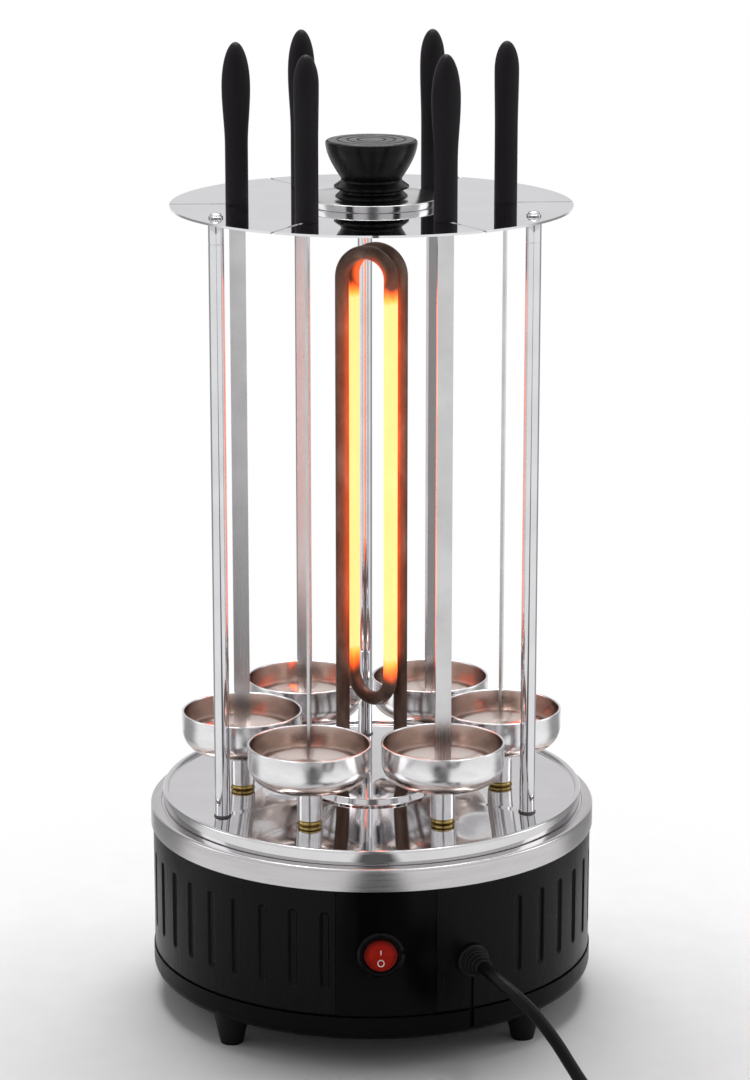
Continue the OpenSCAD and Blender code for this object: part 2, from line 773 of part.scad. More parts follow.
module spindle_bushes() {
    body_h = 5;
    color([0.45, 0.38, 0.22]) for (n = PLACES) at_place(n) translate([0, 0, z_tray]) difference() {
        union() {
            cylinder(h = bush_flange_t - fit_gap, r = bush_r + 0.8);
            translate([0, 0, -body_h]) cylinder(h = body_h, r = bush_r);
        }
        translate([0, 0, -body_h - cut]) cylinder(h = body_h + 2 * cut, r = shaft_r + run_gap);
    }
}

// Bowl: a cup with a big lower corner and a rolled rim on a tube that slips over the socket
module bowl_profile(r, h, corner) {
    square([r - corner, h]);
    translate([0, corner]) square([r, h - corner]);
    translate([r - corner, corner]) circle(corner);
}

module bowl(n) {
    bore_r = socket_r + run_gap;
    color([0.8, 0.8, 0.81]) at_place(n) translate([0, 0, z_bowl]) difference() {
        union() {
            rotate_extrude() {
                difference() {
                    bowl_profile(bowl_r, bowl_h, bowl_corner_r);
                    translate([0, bowl_t])
                        bowl_profile(bowl_r - bowl_t, bowl_h, bowl_corner_r - bowl_t);
                }
                translate([bowl_r - bowl_t / 2, bowl_h - rim_r]) circle(rim_r);
            }
            translate([0, 0, -stem_h]) cylinder(h = stem_h + bowl_t, r = stem_r);
        }
        translate([0, 0, -stem_h - cut]) cylinder(h = stem_h + bowl_t + 2 * cut, r = bore_r);
    }
}

// Skewer: a flat blade with a blunt tip, and a black leaf-shaped handle on its tang
blade_len = z_handle - z_slot;

module skewer_blade(n) {
    color([0.8, 0.8, 0.82]) at_place(n) rotate([0, 0, blade_turns[n - 1] - place_angle(n)])
        translate([0, blade_t / 2, z_slot]) rotate([90, 0, 0]) linear_extrude(blade_t)
            polygon(blade_outline());
}

function blade_outline() = let (
    half = [[blade_tip_w / 2, 0], [blade_w / 2, blade_taper], [blade_w / 2, blade_len],
            [tang_w / 2, blade_len], [tang_w / 2, blade_len + tang_len]])
    concat(half, [for (i = [len(half) - 1 : -1 : 0]) [-half[i][0], half[i][1]]]);

// Share of the greatest width that a handle has at a distance below its top
function handle_share(d) = d < handle_tip ? [sqrt(1 - pow(1 - d / handle_tip, 2)), 0]
    : [1, (1 - cos(180 * min(1, (d - handle_tip) / handle_swell))) / 2];
function handle_half(full, d) = let (s = handle_share(d))
    s[0] * (full + (handle_neck - full) * s[1]) / 2;
function handle_ring(d, sides) = [for (i = [0 : sides - 1])
    [handle_half(handle_w, d) * cos(i * 360 / sides), handle_half(handle_d, d) * sin(i * 360 / sides),
     handle_len - d]];

// A closed solid through rings of equal length, from the first ring to the last
module loft(rings) {
    count = len(rings[0]);
    last = len(rings) - 1;
    polyhedron(
        points = [for (ring = rings, p = ring) p],
        faces = concat(
            [[for (i = [0 : count - 1]) i]],
            [for (j = [0 : last - 1], i = [0 : count - 1]) let (k = (i + 1) % count)
                [j * count + i, (j + 1) * count + i, (j + 1) * count + k]],
            [for (j = [0 : last - 1], i = [0 : count - 1]) let (k = (i + 1) % count)
                [j * count + i, (j + 1) * count + k, j * count + k]],
            [[for (i = [count - 1 : -1 : 0]) last * count + i]]));
}

module skewer_handle(n) {
    sides = 16;
    tip_steps = 6;
    swell_steps = 4;
    depths = concat(
        [for (i = [0 : tip_steps]) handle_tip * max(0.008, 1 - cos(90 * i / tip_steps))],
        [for (i = [1 : swell_steps]) handle_tip + handle_swell * i / swell_steps],
        [handle_len]);
    color([0.05, 0.05, 0.055]) at_place(n) rotate([0, 0, blade_turns[n - 1] - place_angle(n)])
        translate([0, 0, z_handle]) difference() {
            loft([for (d = depths) handle_ring(d, sides)]);
            translate([-(tang_w + fit_gap) / 2, -(blade_t + fit_gap) / 2, -cut])
                cube([tang_w + fit_gap, blade_t + fit_gap, tang_len + fit_gap + cut]);
        }
}

// Heater: one tube up the left leg, over an arch, down the right glowing leg, round the lower
// bend, up the left glowing leg, over the second arch and down the right leg
outer_left = [-outer_leg_x, 0];
inner_right = [inner_leg_x, -inner_leg_y];
inner_left = [-inner_leg_x, inner_leg_y];
outer_right = [outer_leg_x, 0];
arch_r = norm(inner_right - outer_left) / 2;
bend_r = norm(inner_right - inner_left) / 2;
z_arch = z_tray + arch_top - tube_r - arch_r;
z_bend = z_tray + bend_bottom + tube_r + bend_r;
bracket_t = 1.5;
z_bracket = collar_top;
leg_end = 8;

// Points of a half ring from p to q, over them for side = 1 and under them for side = -1
function half_ring(p, q, z, side, steps) = [for (i = [0 : steps]) let (
    mid = (p + q) / 2,
    at = mid + (p - mid) * cos(i * 180 / steps))
    [at[0], at[1], z + side * norm(p - q) / 2 * sin(i * 180 / steps)]];

module heater_element() {
    z_end = z_bracket - leg_end;
    steps = 12;
    path = concat(
        [[outer_left[0], outer_left[1], z_end]],
        half_ring(outer_left, inner_right, z_arch, 1, steps),
        half_ring(inner_right, inner_left, z_bend, -1, steps),
        half_ring(inner_left, outer_right, z_arch, 1, steps),
        [[outer_right[0], outer_right[1], z_end]]);
    color([0.3, 0.2, 0.16]) {
        loft(turned_rings(path, tube_r, 16));
        for (p = [outer_left, outer_right]) translate([p[0], p[1], z_end - 5])
            cylinder(h = 5 + cut, r = tube_r / 3);
    }
}

module heater_insulators() {
    color([0.9, 0.88, 0.82]) for (p = [outer_left, outer_right])
        translate([p[0], p[1], z_bracket + bracket_t])
            pipe(ceramic_r, tube_r + fit_gap / 2, z_seat - tray_t - z_bracket - bracket_t);
}

module heater_bracket() {
    half_len = collar_r - collar_wall / 2;
    half_w = ceramic_r + 1.5;
    color([0.75, 0.75, 0.77]) translate([0, 0, z_bracket]) difference() {
        intersection() {
            translate([-half_len, -half_w, 0]) cube([2 * half_len, 2 * half_w, bracket_t]);
            cylinder(h = bracket_t, r = half_len);
        }
        for (p = [outer_left, outer_right]) translate([p[0], p[1], -cut])
            cylinder(h = bracket_t + 2 * cut, r = tube_r + fit_gap);
    }
}

// Gear motor under the deck, with two ears and a shaft that carries the pinion
module motor() {
    ear_r = 5;
    color([0.72, 0.72, 0.74]) at(pinion_circle_r, pinion_angle, z_deck) difference() {
        union() {
            translate([0, 0, -motor_h]) cylinder(h = motor_h, r = motor_r);
            rotate([0, 0, ear_turn]) translate([-motor_screw_x, -ear_r * 0.8, -ear_t])
                cube([2 * motor_screw_x, ear_r * 1.6, ear_t]);
            translate([0, 0, -ear_t]) each_ear() cylinder(h = ear_t, r = ear_r);
        }
        translate([0, 0, -motor_h / 2]) cylinder(h = motor_h, r = motor_shaft_r + run_gap);
        translate([0, 0, -motor_h]) each_ear() cylinder(h = 2 * motor_h, r = screw_r + fit_gap);
    }
}

module motor_pinion() {
    shaft_low = motor_h / 2 - 1;
    color([0.93, 0.92, 0.86]) at(pinion_circle_r, pinion_angle) {
        translate([0, 0, z_gear]) meshed_gear(pinion_teeth, pinion_angle);
        translate([0, 0, z_deck - shaft_low])
            cylinder(h = z_gear + gear_h + 2 - z_deck + shaft_low, r = motor_shaft_r);
    }
}

// A round flange whose back follows the housing's wall, with its front at z = h
module wall_flange(r, h) {
    difference() {
        translate([0, 0, -cut]) cylinder(h = h + cut, r = r);
        translate([0, -2 * r, -housing_r]) rotate([-90, 0, 0]) cylinder(h = 4 * r, r = housing_r);
    }
}

// Rocker switch: a round bezel with its body, and a rocker that tilts on two pins
rocker_gap = 0.32;
rocker_face = 2.4;
rocker_pivot_y = -housing_r - bezel_proud + rocker_face;
rocker_pin_r = 1;

module rocker_bezel() {
    well_r = rocker_r + rocker_gap;
    edge = bezel_proud * 0.6;
    color([0.04, 0.04, 0.045]) translate([0, -housing_r, z_switch]) rotate([90, 0, 0]) difference() {
        union() {
            wall_flange(bezel_r, bezel_proud - edge);
            translate([0, 0, bezel_proud - edge]) cylinder(h = edge, r1 = bezel_r, r2 = bezel_r - edge);
            translate([0, 0, -switch_depth]) cylinder(h = switch_depth + cut, r = switch_body_r);
            for (x = [-5, 0, 5]) translate([x - 0.4, -3, -switch_depth - 7]) cube([0.8, 6, 7 + cut]);
        }
        translate([0, 0, bezel_proud - rocker_face - rocker_r - 1])
            cylinder(h = rocker_r + rocker_face + 1 + cut, r = well_r);
        translate([-switch_body_r + 0.3, 0, bezel_proud - rocker_face]) rotate([0, 90, 0])
            cylinder(h = 2 * switch_body_r - 0.6, r = rocker_pin_r + run_gap);
    }
}

module rocker() {
    pin_len = switch_body_r - 0.5;
    color([0.75, 0.08, 0.05]) translate([0, rocker_pivot_y, z_switch]) rotate([-rocker_tilt, 0, 0]) {
        intersection() {
            rotate([0, 90, 0]) sphere(rocker_r);
            rotate([90, 0, 90]) translate([0, 0, -rocker_r - cut])
                linear_extrude(2 * rocker_r + 2 * cut) rocker_side();
        }
        translate([-pin_len, 0, 0]) rotate([0, 90, 0]) cylinder(h = 2 * pin_len, r = rocker_pin_r);
    }
}

// The rocker seen from its side, with X towards the back and a shallow V in front
module rocker_side() {
    rise = 2 * rocker_r * tan(rocker_tilt);
    polygon([[-rocker_face, 0], [-rocker_face - rise, -2 * rocker_r], [rocker_r * 0.6, -2 * rocker_r],
             [rocker_r * 0.6, 2 * rocker_r], [-rocker_face - rise, 2 * rocker_r]]);
}

// Parts on the cover's floor and under the deck
block_size = [34, 18, 14];
block_pos = [20, -58];
cutout_pos = [-28, -30];
cutout_r = 8;
cutout_h = 7;

module terminal_block() {
    z0 = z_cover + cover_wall;
    color([0.92, 0.92, 0.9]) translate([block_pos[0], block_pos[1], z0]) difference() {
        cube(block_size);
        for (i = [0 : 2]) translate([block_size[0] * (i + 0.5) / 3, -cut, block_size[2] * 0.4])
            rotate([-90, 0, 0]) cylinder(h = 7 + cut, r = 2.2);
        for (i = [0 : 2]) translate([block_size[0] * (i + 0.5) / 3, block_size[1] / 2, block_size[2] * 0.6])
            cylinder(h = block_size[2], r = 2);
    }
}

module thermal_cutout() {
    color([0.8, 0.78, 0.74]) translate([cutout_pos[0], cutout_pos[1], z_deck - cutout_h]) {
        cylinder(h = cutout_h, r = cutout_r);
        for (x = [-4, 4]) translate([x - 3, -0.4, -6]) cube([6, 0.8, 6 + cut]);
    }
}

// Tubes swept along a path, with the rings square to it
function unit(v) = v / norm(v);
function path_way(path, i, first, last) = i == 0 && !is_undef(first) ? unit(first)
    : i == len(path) - 1 && !is_undef(last) ? unit(last)
    : unit(path[min(i + 1, len(path) - 1)] - path[max(i - 1, 0)]);
function sweep_rings(path, r, sides, first, last) = [for (i = [0 : len(path) - 1]) let (
    way = path_way(path, i, first, last),
    side = unit(cross(way, [0, 0, 1])),
    up = cross(side, way))
    [for (k = [0 : sides - 1]) path[i] + r * (cos(k * 360 / sides) * up + sin(k * 360 / sides) * side)]];
// A smooth curve through hand-placed points, with steps per span
function smooth(p, steps) = concat(
    [for (i = [0 : len(p) - 2], k = [0 : steps - 1]) let (
        t = k / steps,
        a = i > 0 ? p[i - 1] : 2 * p[0] - p[1],
        b = p[i],
        c = p[i + 1],
        d = i < len(p) - 2 ? p[i + 2] : 2 * c - b)
        (2 * b + (c - a) * t + (2 * a - 5 * b + 4 * c - d) * t * t
         + (3 * b - a - 3 * c + d) * t * t * t) / 2],
    [p[len(p) - 1]]);

// Rings along a path that also runs straight up, each kept in line with the one before it
function turned_side(path, i) = let (
    way = path_way(path, i),
    before = i == 0 ? [0, 1, 0] : turned_side(path, i - 1))
    unit(before - (before * way) * way);
function turned_rings(path, r, sides) = [for (i = [0 : len(path) - 1]) let (
    way = path_way(path, i),
    side = turned_side(path, i),
    up = cross(side, way))
    [for (k = [0 : sides - 1]) path[i] + r * (cos(k * 360 / sides) * up + sin(k * 360 / sides) * side)]];

module swept_tube(path, r, sides, first, last) {
    loft(sweep_rings(path, r, sides, first, last));
}

wire_r = 1.1;
wire_in = 1.5;
relief_end = polar(housing_r - relief_in + wire_in, relief_angle, z_relief);
z_block_hole = z_cover + cover_wall + block_size[2] * 0.4;
z_cutout_tab = z_deck - cutout_h - 5;
z_pin = z_bracket - leg_end - 5;
switch_tab_y = -housing_r + switch_depth + 6;

// The mouth of one of the terminal block's three wire holes, at its bottom
function block_hole(i) =
    [block_pos[0] + block_size[0] * (i + 0.5) / 3, block_pos[1] + 7 + wire_in, z_block_hole];

wire_routes = [
    [relief_end + [1, 0, 2], [47, -92, 48], [50, -78, 30], block_hole(2) - [0, 12, 0], block_hole(2)],
    [relief_end - [1, 0, 2], [41, -90, 44], [38, -78, 29], block_hole(1) - [0, 12, 0], block_hole(1)],
    [block_hole(0), block_hole(0) - [0, 12, 0], [18, -82, 30], [7, -86, 50], [5, switch_tab_y, z_switch]],
    [[-5, switch_tab_y, z_switch], [-10, -84, 60], [-26, -54, 62],
     [cutout_pos[0] - 4, cutout_pos[1], z_cutout_tab]],
    [[cutout_pos[0] + 4, cutout_pos[1], z_cutout_tab], [-20, -22, 68], [-17.5, -6, 78],
     [-outer_leg_x, 0, z_pin + 1]],
    [[44, block_pos[1] + block_size[1] - wire_in, 26], [44, -30, 36], [28, -12, 66],
     [outer_leg_x, 0, z_pin + 1]],
    [[30, block_pos[1] + block_size[1] - wire_in, 26], [26, -26, 34], [10, 16, 56],
     [6, pinion_circle_r - motor_r + 2, z_deck - motor_h / 2]]];

module wiring() {
    color([0.75, 0.75, 0.72]) for (route = wire_routes) swept_tube(smooth(route, 3), wire_r, 6);
}

// Strain relief: a flange on the housing and a tapered sleeve that the cord leaves
relief_flange_t = 3;
relief_well = 3;

module strain_relief() {
    tip_r = cord_d / 2 + 1.3;
    color([0.05, 0.05, 0.055]) at(housing_r, relief_angle, z_relief) rotate([90, 0, 0]) difference() {
        union() {
            translate([0, 0, -relief_in]) cylinder(h = relief_in + cut, r = relief_neck_r);
            translate([0, 0, -relief_in]) cylinder(h = 2, r = relief_neck_r + 1.5);
            wall_flange(relief_flange_r, relief_flange_t - 1);
            translate([0, 0, relief_flange_t - 1])
                cylinder(h = 1, r1 = relief_flange_r, r2 = relief_flange_r - 1);
            cylinder(h = relief_out, r1 = relief_neck_r + 0.8, r2 = tip_r);
        }
        translate([0, 0, relief_out - relief_well]) cylinder(h = relief_well + cut, r = cord_d / 2 + fit_gap);
    }
}

// Cord: its free stretch, then a stored coil of two layers and the tail into the plug
plug_r = 18.5;
cord_points = concat(
    [polar(housing_r + relief_out - relief_well, relief_angle, z_relief),
     polar(housing_r + relief_out, relief_angle, z_relief)],
    [[56.5, -129, 56.3], [61, -136.5, 54.5], [67.5, -143.5, 50.5], [75, -149, 44.5],
     [82, -153.5, 37], [88.5, -157.5, 28.5], [94.5, -162, 19.5], [100.5, -168.5, 11.5],
     [106.5, -177, 6], [112, -187, 3.6], [116.5, -196, 3.3], [120.2, -203.8, 3.3],
     [125.2, -212.5, 3.3]]);
coil_start = 30;
coil_outer_r = 43;
coil_gap = 0.5;
coil_in_turns = 2;
coil_out_turns = 11 / 6;
coil_steps = 24;
coil_step_r = cord_d + coil_gap;
coil_low_z = cord_points[len(cord_points) - 1][2];
coil_way = [sin(coil_start), -cos(coil_start), 0];
coil_centre = cord_points[len(cord_points) - 1] - coil_outer_r * [cos(coil_start), sin(coil_start), 0];
coil_high_z = coil_low_z + cord_d + coil_gap;
// Each point of the tail, as a distance from the coil and a share of the rise to the plug
tail_points = [[8, 0], [18, 0], [28, 0.03], [40, 0.35], [52, 0.79], [62, 1], [70, 1]];

// Turns wound so far give the coil's radius: in, in and out again over the climb, then out
function coil_r(turns) = let (turn_back = coil_in_turns + 0.25)
    coil_outer_r - coil_step_r * (turns < turn_back ? turns : 2 * turn_back - turns);
function coil_z(turns) = let (climb = min(1, max(0, (turns - coil_in_turns) * 2)))
    coil_low_z + (coil_high_z - coil_low_z) * climb;
function coil_point(turns) = let (a = coil_start - 360 * turns)
    [coil_centre[0] + coil_r(turns) * cos(a), coil_centre[1] + coil_r(turns) * sin(a), coil_z(turns)];
coil_turns = coil_in_turns + 0.5 + coil_out_turns;
coil_end = coil_point(coil_turns);
coil_path = concat(
    [for (i = [0 : coil_turns * coil_steps]) coil_point(i / coil_steps)],
    [for (p = tail_points) coil_end + [-p[0], 0, p[1] * (plug_r - coil_high_z)]]);

// The least distance between stretches of the coil that are half a turn or more apart
coil_least_gap = min([for (i = [0 : len(coil_path) - 1], j = [i + coil_steps / 2 : len(coil_path) - 1])
    norm(coil_path[i] - coil_path[j])]) - cord_d;
echo(coil_least_gap = coil_least_gap);

module cord() {
    color([0.05, 0.05, 0.055])
        swept_tube(cord_points, cord_d / 2, 8, first = cord_points[1] - cord_points[0], last = coil_way);
}

module cord_coil() {
    color([0.05, 0.05, 0.055])
        swept_tube(coil_path, cord_d / 2, 6, first = coil_way, last = [-1, 0, 0]);
}

// Plug: a round two-pin earthed plug that lies beside the coil
plug_face = 20;
plug_taper = 18;
plug_sleeve = 16;
plug_grip_r = 8;
pin_len = 19;
pin_r = 2.4;
pin_space = 19;
plug_start = coil_path[len(coil_path) - 1];

module plug() {
    color([0.05, 0.05, 0.055]) translate([plug_start[0], plug_start[1], plug_r])
        rotate([0, -90, 0]) difference() {
            union() {
                cylinder(h = plug_sleeve, r1 = cord_d / 2 + 1, r2 = plug_grip_r - 2);
                translate([0, 0, plug_sleeve]) cylinder(h = plug_taper, r1 = plug_grip_r, r2 = plug_r - 1);
                translate([0, 0, plug_sleeve + plug_taper]) cylinder(h = plug_face, r = plug_r);
            }
            for (y = [-plug_r, plug_r]) translate([-3, y - 2, plug_sleeve + plug_taper + 4])
                cube([6, 4, plug_face]);
            for (y = [-pin_space / 2, pin_space / 2])
                translate([0, y, plug_sleeve + plug_taper + plug_face - 6]) cylinder(h = 6 + cut, r = pin_r);
        }
}

module plug_pins() {
    color([0.8, 0.78, 0.7]) translate([plug_start[0], plug_start[1], plug_r]) rotate([0, -90, 0])
        for (y = [-pin_space / 2, pin_space / 2])
            translate([0, y, plug_sleeve + plug_taper + plug_face - 6]) {
                cylinder(h = pin_len + 5, r = pin_r);
                translate([0, 0, pin_len + 5]) cylinder(h = 1, r1 = pin_r, r2 = pin_r - 0.8);
            }
}

base_housing();
control_panel();
bottom_cover();
feet();
cover_screws();
trim_ring();
drip_tray();
gear_deck();
deck_screws();
post(post_angles[0]);  // post_left
post(post_angles[1]);  // post_right
post(post_angles[2]);  // post_back
post_seals();
post_nuts();
post_screws();
top_plate();
knob();
knob_disc();
knob_screw();
heater_element();
heater_insulators();
heater_bracket();
spindle_bushes();
drive_gear();
motor();
motor_pinion();
rocker_bezel();
rocker();
terminal_block();
thermal_cutout();
wiring();
strain_relief();
cord();
cord_coil();
plug();
plug_pins();
for (n = PLACES) {
    spindle(n);
    bowl(n);
    skewer_blade(n);
    skewer_handle(n);
}
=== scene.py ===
"""Looks, camera and light for the electric skewer grill, on the frame of its solids.

Sizes are in millimetres and reach Blender times MM. Camera, floor and lamps are in metres.
"""
import math

import bmesh
import bpy
from mathutils import Matrix, Vector


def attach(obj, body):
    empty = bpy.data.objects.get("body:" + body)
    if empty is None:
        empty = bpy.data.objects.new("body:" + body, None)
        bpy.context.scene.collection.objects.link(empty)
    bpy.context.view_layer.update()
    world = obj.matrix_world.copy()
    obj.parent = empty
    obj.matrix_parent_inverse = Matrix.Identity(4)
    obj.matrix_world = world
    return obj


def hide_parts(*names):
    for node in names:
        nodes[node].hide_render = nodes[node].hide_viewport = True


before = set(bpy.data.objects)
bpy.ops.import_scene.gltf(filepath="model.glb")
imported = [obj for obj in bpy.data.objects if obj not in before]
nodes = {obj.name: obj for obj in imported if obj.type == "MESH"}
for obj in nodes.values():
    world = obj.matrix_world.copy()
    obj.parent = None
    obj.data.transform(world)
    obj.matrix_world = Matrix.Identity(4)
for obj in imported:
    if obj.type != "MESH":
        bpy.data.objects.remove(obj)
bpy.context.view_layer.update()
MM = 0.001
PLACES = range(1, 7)


def polar(r, a, z=0.0):
    """A point at radius r and angle a from the front, in millimetres."""
    t = math.radians(a)
    return Vector((r * math.sin(t), -r * math.cos(t), z))


def lin(r, g, b):
    """An sRGB colour, 0 to 255, as a linear one."""
    def one(v):
        v = v / 255.0
        return v / 12.92 if v <= 0.04045 else ((v + 0.055) / 1.055) ** 2.4
    return (one(r), one(g), one(b), 1.0)


def shaded(tone, step):
    """The same colour, darker by a number of levels."""
    return lin(*[max(0, c - step) for c in tone])


def smoothstep(lo, hi, v):
    t = min(1.0, max(0.0, (v - lo) / (hi - lo)))
    return t * t * (3 - 2 * t)


# The part's sizes in millimetres, heights above the floor
HOUSING_R, HOUSING_IN_R, LEDGE_IN_R = 118.8, 116.4, 104.4
Z_SEAM, Z_LEDGE, Z_PANEL_TOP = 29.9, 108.6, 104.4
Z_TRAY, Z_POST, Z_STEM, Z_BOWL, Z_BOWL_RIM = 115.6, 116.3, 118.4, 138.0, 159.8
Z_PLATE, Z_PLATE_TOP, Z_HANDLE, Z_KNOB = 433.6, 434.8, 435.6, 438.5
SPINDLE_CIRCLE_R, POST_CIRCLE_R = 70.0, 93.3
SWITCH = Vector((0, -118.4, 63.9))
RELIEF_ANGLE, Z_RELIEF = 23.7, 56.5
PANEL_FROM, PANEL_TO, PANEL_T = -11.3, 14.2, 1.6
POST_ANGLES = (-60, 60, 180)
HANDLE_TURNS = (83, 12, 80, 55, 25, 4)
place = {n: polar(SPINDLE_CIRCLE_R, 60 * n - 90)[:2] for n in PLACES}
HOT_LEGS = ((9.6, -11.0), (-9.6, 11.0))
KNOB_H, KNOB_GROOVES = 29.5, (17.8, 12.5, 7.2)


# ---------------------------------------------------------------- camera

# Solved from the photograph's circles and verticals
cam_data = bpy.data.cameras.new("camera")
cam_data.lens = 113.13
cam_data.sensor_width = 36.0
cam_data.sensor_fit = "AUTO"
cam_data.clip_end = 20.0
camera = bpy.data.objects.new("camera", cam_data)
camera.location = (-0.06893, -1.75409, 0.70568)
camera.rotation_euler = (math.radians(90 - 14.443), 0.0, math.radians(-2.31))
bpy.context.scene.collection.objects.link(camera)
bpy.context.scene.camera = camera


# ---------------------------------------------------------------- mesh helpers

def link(obj):
    bpy.context.scene.collection.objects.link(obj)
    return obj


def smooth_shaded(mesh, angle):
    mesh.validate()
    for p in mesh.polygons:
        p.use_smooth = True
    mesh.set_sharp_from_angle(angle=math.radians(angle))
    mesh.update()


def from_rings(name, rings, closed_ring=True, angle=32.0, wrap=False):
    """A mesh through rings of as many points each, its ends capped or, with wrap, joined."""
    n = len(rings[0])
    verts = [tuple(c * MM for c in p) for ring in rings for p in ring]
    faces = []
    rows = len(rings) if wrap else len(rings) - 1
    for j in range(rows):
        j1 = (j + 1) % len(rings)
        for i in range(n if closed_ring else n - 1):
            k = (i + 1) % n
            faces.append((j * n + i, j * n + k, j1 * n + k, j1 * n + i))
    if not wrap:
        faces.append(tuple(range(n - 1, -1, -1)))
        faces.append(tuple((len(rings) - 1) * n + i for i in range(n)))
    mesh = bpy.data.meshes.new(name)
    mesh.from_pydata(verts, [], faces)
    bm = bmesh.new()
    bm.from_mesh(mesh)
    bmesh.ops.remove_doubles(bm, verts=bm.verts, dist=1e-7)
    bmesh.ops.recalc_face_normals(bm, faces=bm.faces)
    bm.to_mesh(mesh)
    bm.free()
    smooth_shaded(mesh, angle)
    return link(bpy.data.objects.new(name, mesh))


def lathe(name, profile, centre=(0.0, 0.0), steps=96, angle=32.0):
    """Turns a profile of (radius, z) points, closed or from axis to axis, about a vertical axis."""
    open_ends = profile[0][0] < 1e-6 and profile[-1][0] < 1e-6
    columns = []
    for i in range(steps):
        c, s = math.cos(2 * math.pi * i / steps), math.sin(2 * math.pi * i / steps)
        columns.append([(centre[0] + r * c, centre[1] + r * s, z) for r, z in profile])
    return from_rings(name, columns, closed_ring=not open_ends, angle=angle, wrap=True)


def rod(r, z0, z1):
    """The profile of a plain cylinder."""
    return [(0, z0), (r, z0), (r, z1), (0, z1)]


def arc(x, z, r, degrees):
    """Points round (x, z) at some angles above the outward direction."""
    return [(x + r * math.cos(math.radians(a)), z + r * math.sin(math.radians(a))) for a in degrees]


def rounded(points):
    """An outline whose points (r, z, corner radius) are rounded where they have a radius."""
    steps = 4
    out = []
    for i, p in enumerate(points):
        b = Vector(p[:2])
        if len(p) < 3:
            out.append(tuple(b))
            continue
        u = (Vector(points[i - 1][:2]) - b).normalized()
        v = (Vector(points[(i + 1) % len(points)][:2]) - b).normalized()
        half = u.angle(v) / 2
        mid = b + (u + v).normalized() * (p[2] / math.sin(half))
        first = b + u * (p[2] / math.tan(half)) - mid
        last = b + v * (p[2] / math.tan(half)) - mid
        a0 = math.atan2(first.y, first.x)
        turn = (math.atan2(last.y, last.x) - a0 + math.pi) % (2 * math.pi) - math.pi
        for k in range(steps + 1):
            a = a0 + turn * k / steps
            out.append((mid.x + p[2] * math.cos(a), mid.y + p[2] * math.sin(a)))
    return out


def joined(name, parts, angle=32.0):
    """One object from several, each already a closed mesh."""
    bm = bmesh.new()
    for obj in parts:
        bm.from_mesh(obj.data)
        bpy.data.objects.remove(obj)
    mesh = bpy.data.meshes.new(name)
    bm.to_mesh(mesh)
    bm.free()
    smooth_shaded(mesh, angle)
    return link(bpy.data.objects.new(name, mesh))


def placed(obj, matrix):
    """Moves the mesh itself, so that the object stays at the origin."""
    obj.data.transform(matrix)
    return obj


def carved(obj, cutters, angle):
    """Takes the cutters out of the object's mesh and removes them."""
    for cutter in cutters:
        mod = obj.modifiers.new("cut", "BOOLEAN")
        mod.operation = "DIFFERENCE"
        mod.solver = "EXACT"
        mod.object = cutter
    bpy.context.view_layer.update()
    graph = bpy.context.evaluated_depsgraph_get()
    mesh = bpy.data.meshes.new_from_object(obj.evaluated_get(graph))
    obj.modifiers.clear()
    obj.data = mesh
    for cutter in cutters:
        bpy.data.objects.remove(cutter)
    smooth_shaded(mesh, angle)
    return obj


def outward(r, a, z):
    """Turns local Z to point outwards at angle a from the front, local X sideways."""
    t = math.radians(a)
    way = Vector((math.sin(t), -math.cos(t), 0))
    up = Vector((0, 0, 1))
    side = up.cross(way)
    m = Matrix((side, up, way)).transposed().to_4x4()
    m.translation = polar(r, a, z) * MM
    return m


def catmull(points, steps):
    """A smooth curve through the points."""
    pts = [Vector(p) for p in points]
    ext = [2 * pts[0] - pts[1]] + pts + [2 * pts[-1] - pts[-2]]
    out = []
    for i in range(1, len(ext) - 2):
        p0, p1, p2, p3 = ext[i - 1], ext[i], ext[i + 1], ext[i + 2]
        for k in range(steps):
            t = k / steps
            out.append(0.5 * (2 * p1 + (p2 - p0) * t + (2 * p0 - 5 * p1 + 4 * p2 - p3) * t * t
                              + (3 * p1 - p0 - 3 * p2 + p3) * t ** 3))
    out.append(pts[-1])
    return out


def tube_rings(path, radius, sides):
    """Rings square to a path, kept from twisting."""
    rings = []
    side = None
    for i, p in enumerate(path):
        way = (path[min(i + 1, len(path) - 1)] - path[max(i - 1, 0)]).normalized()
        if side is None:
            ref = Vector((0, 1, 0)) if abs(way.y) < 0.9 else Vector((1, 0, 0))
            side = way.cross(ref).normalized()
        side = (side - way * side.dot(way)).normalized()
        up = side.cross(way)
        rings.append([p + radius * (math.cos(2 * math.pi * k / sides) * side
                                    + math.sin(2 * math.pi * k / sides) * up) for k in range(sides)])
    return rings


# ---------------------------------------------------------------- shader helpers

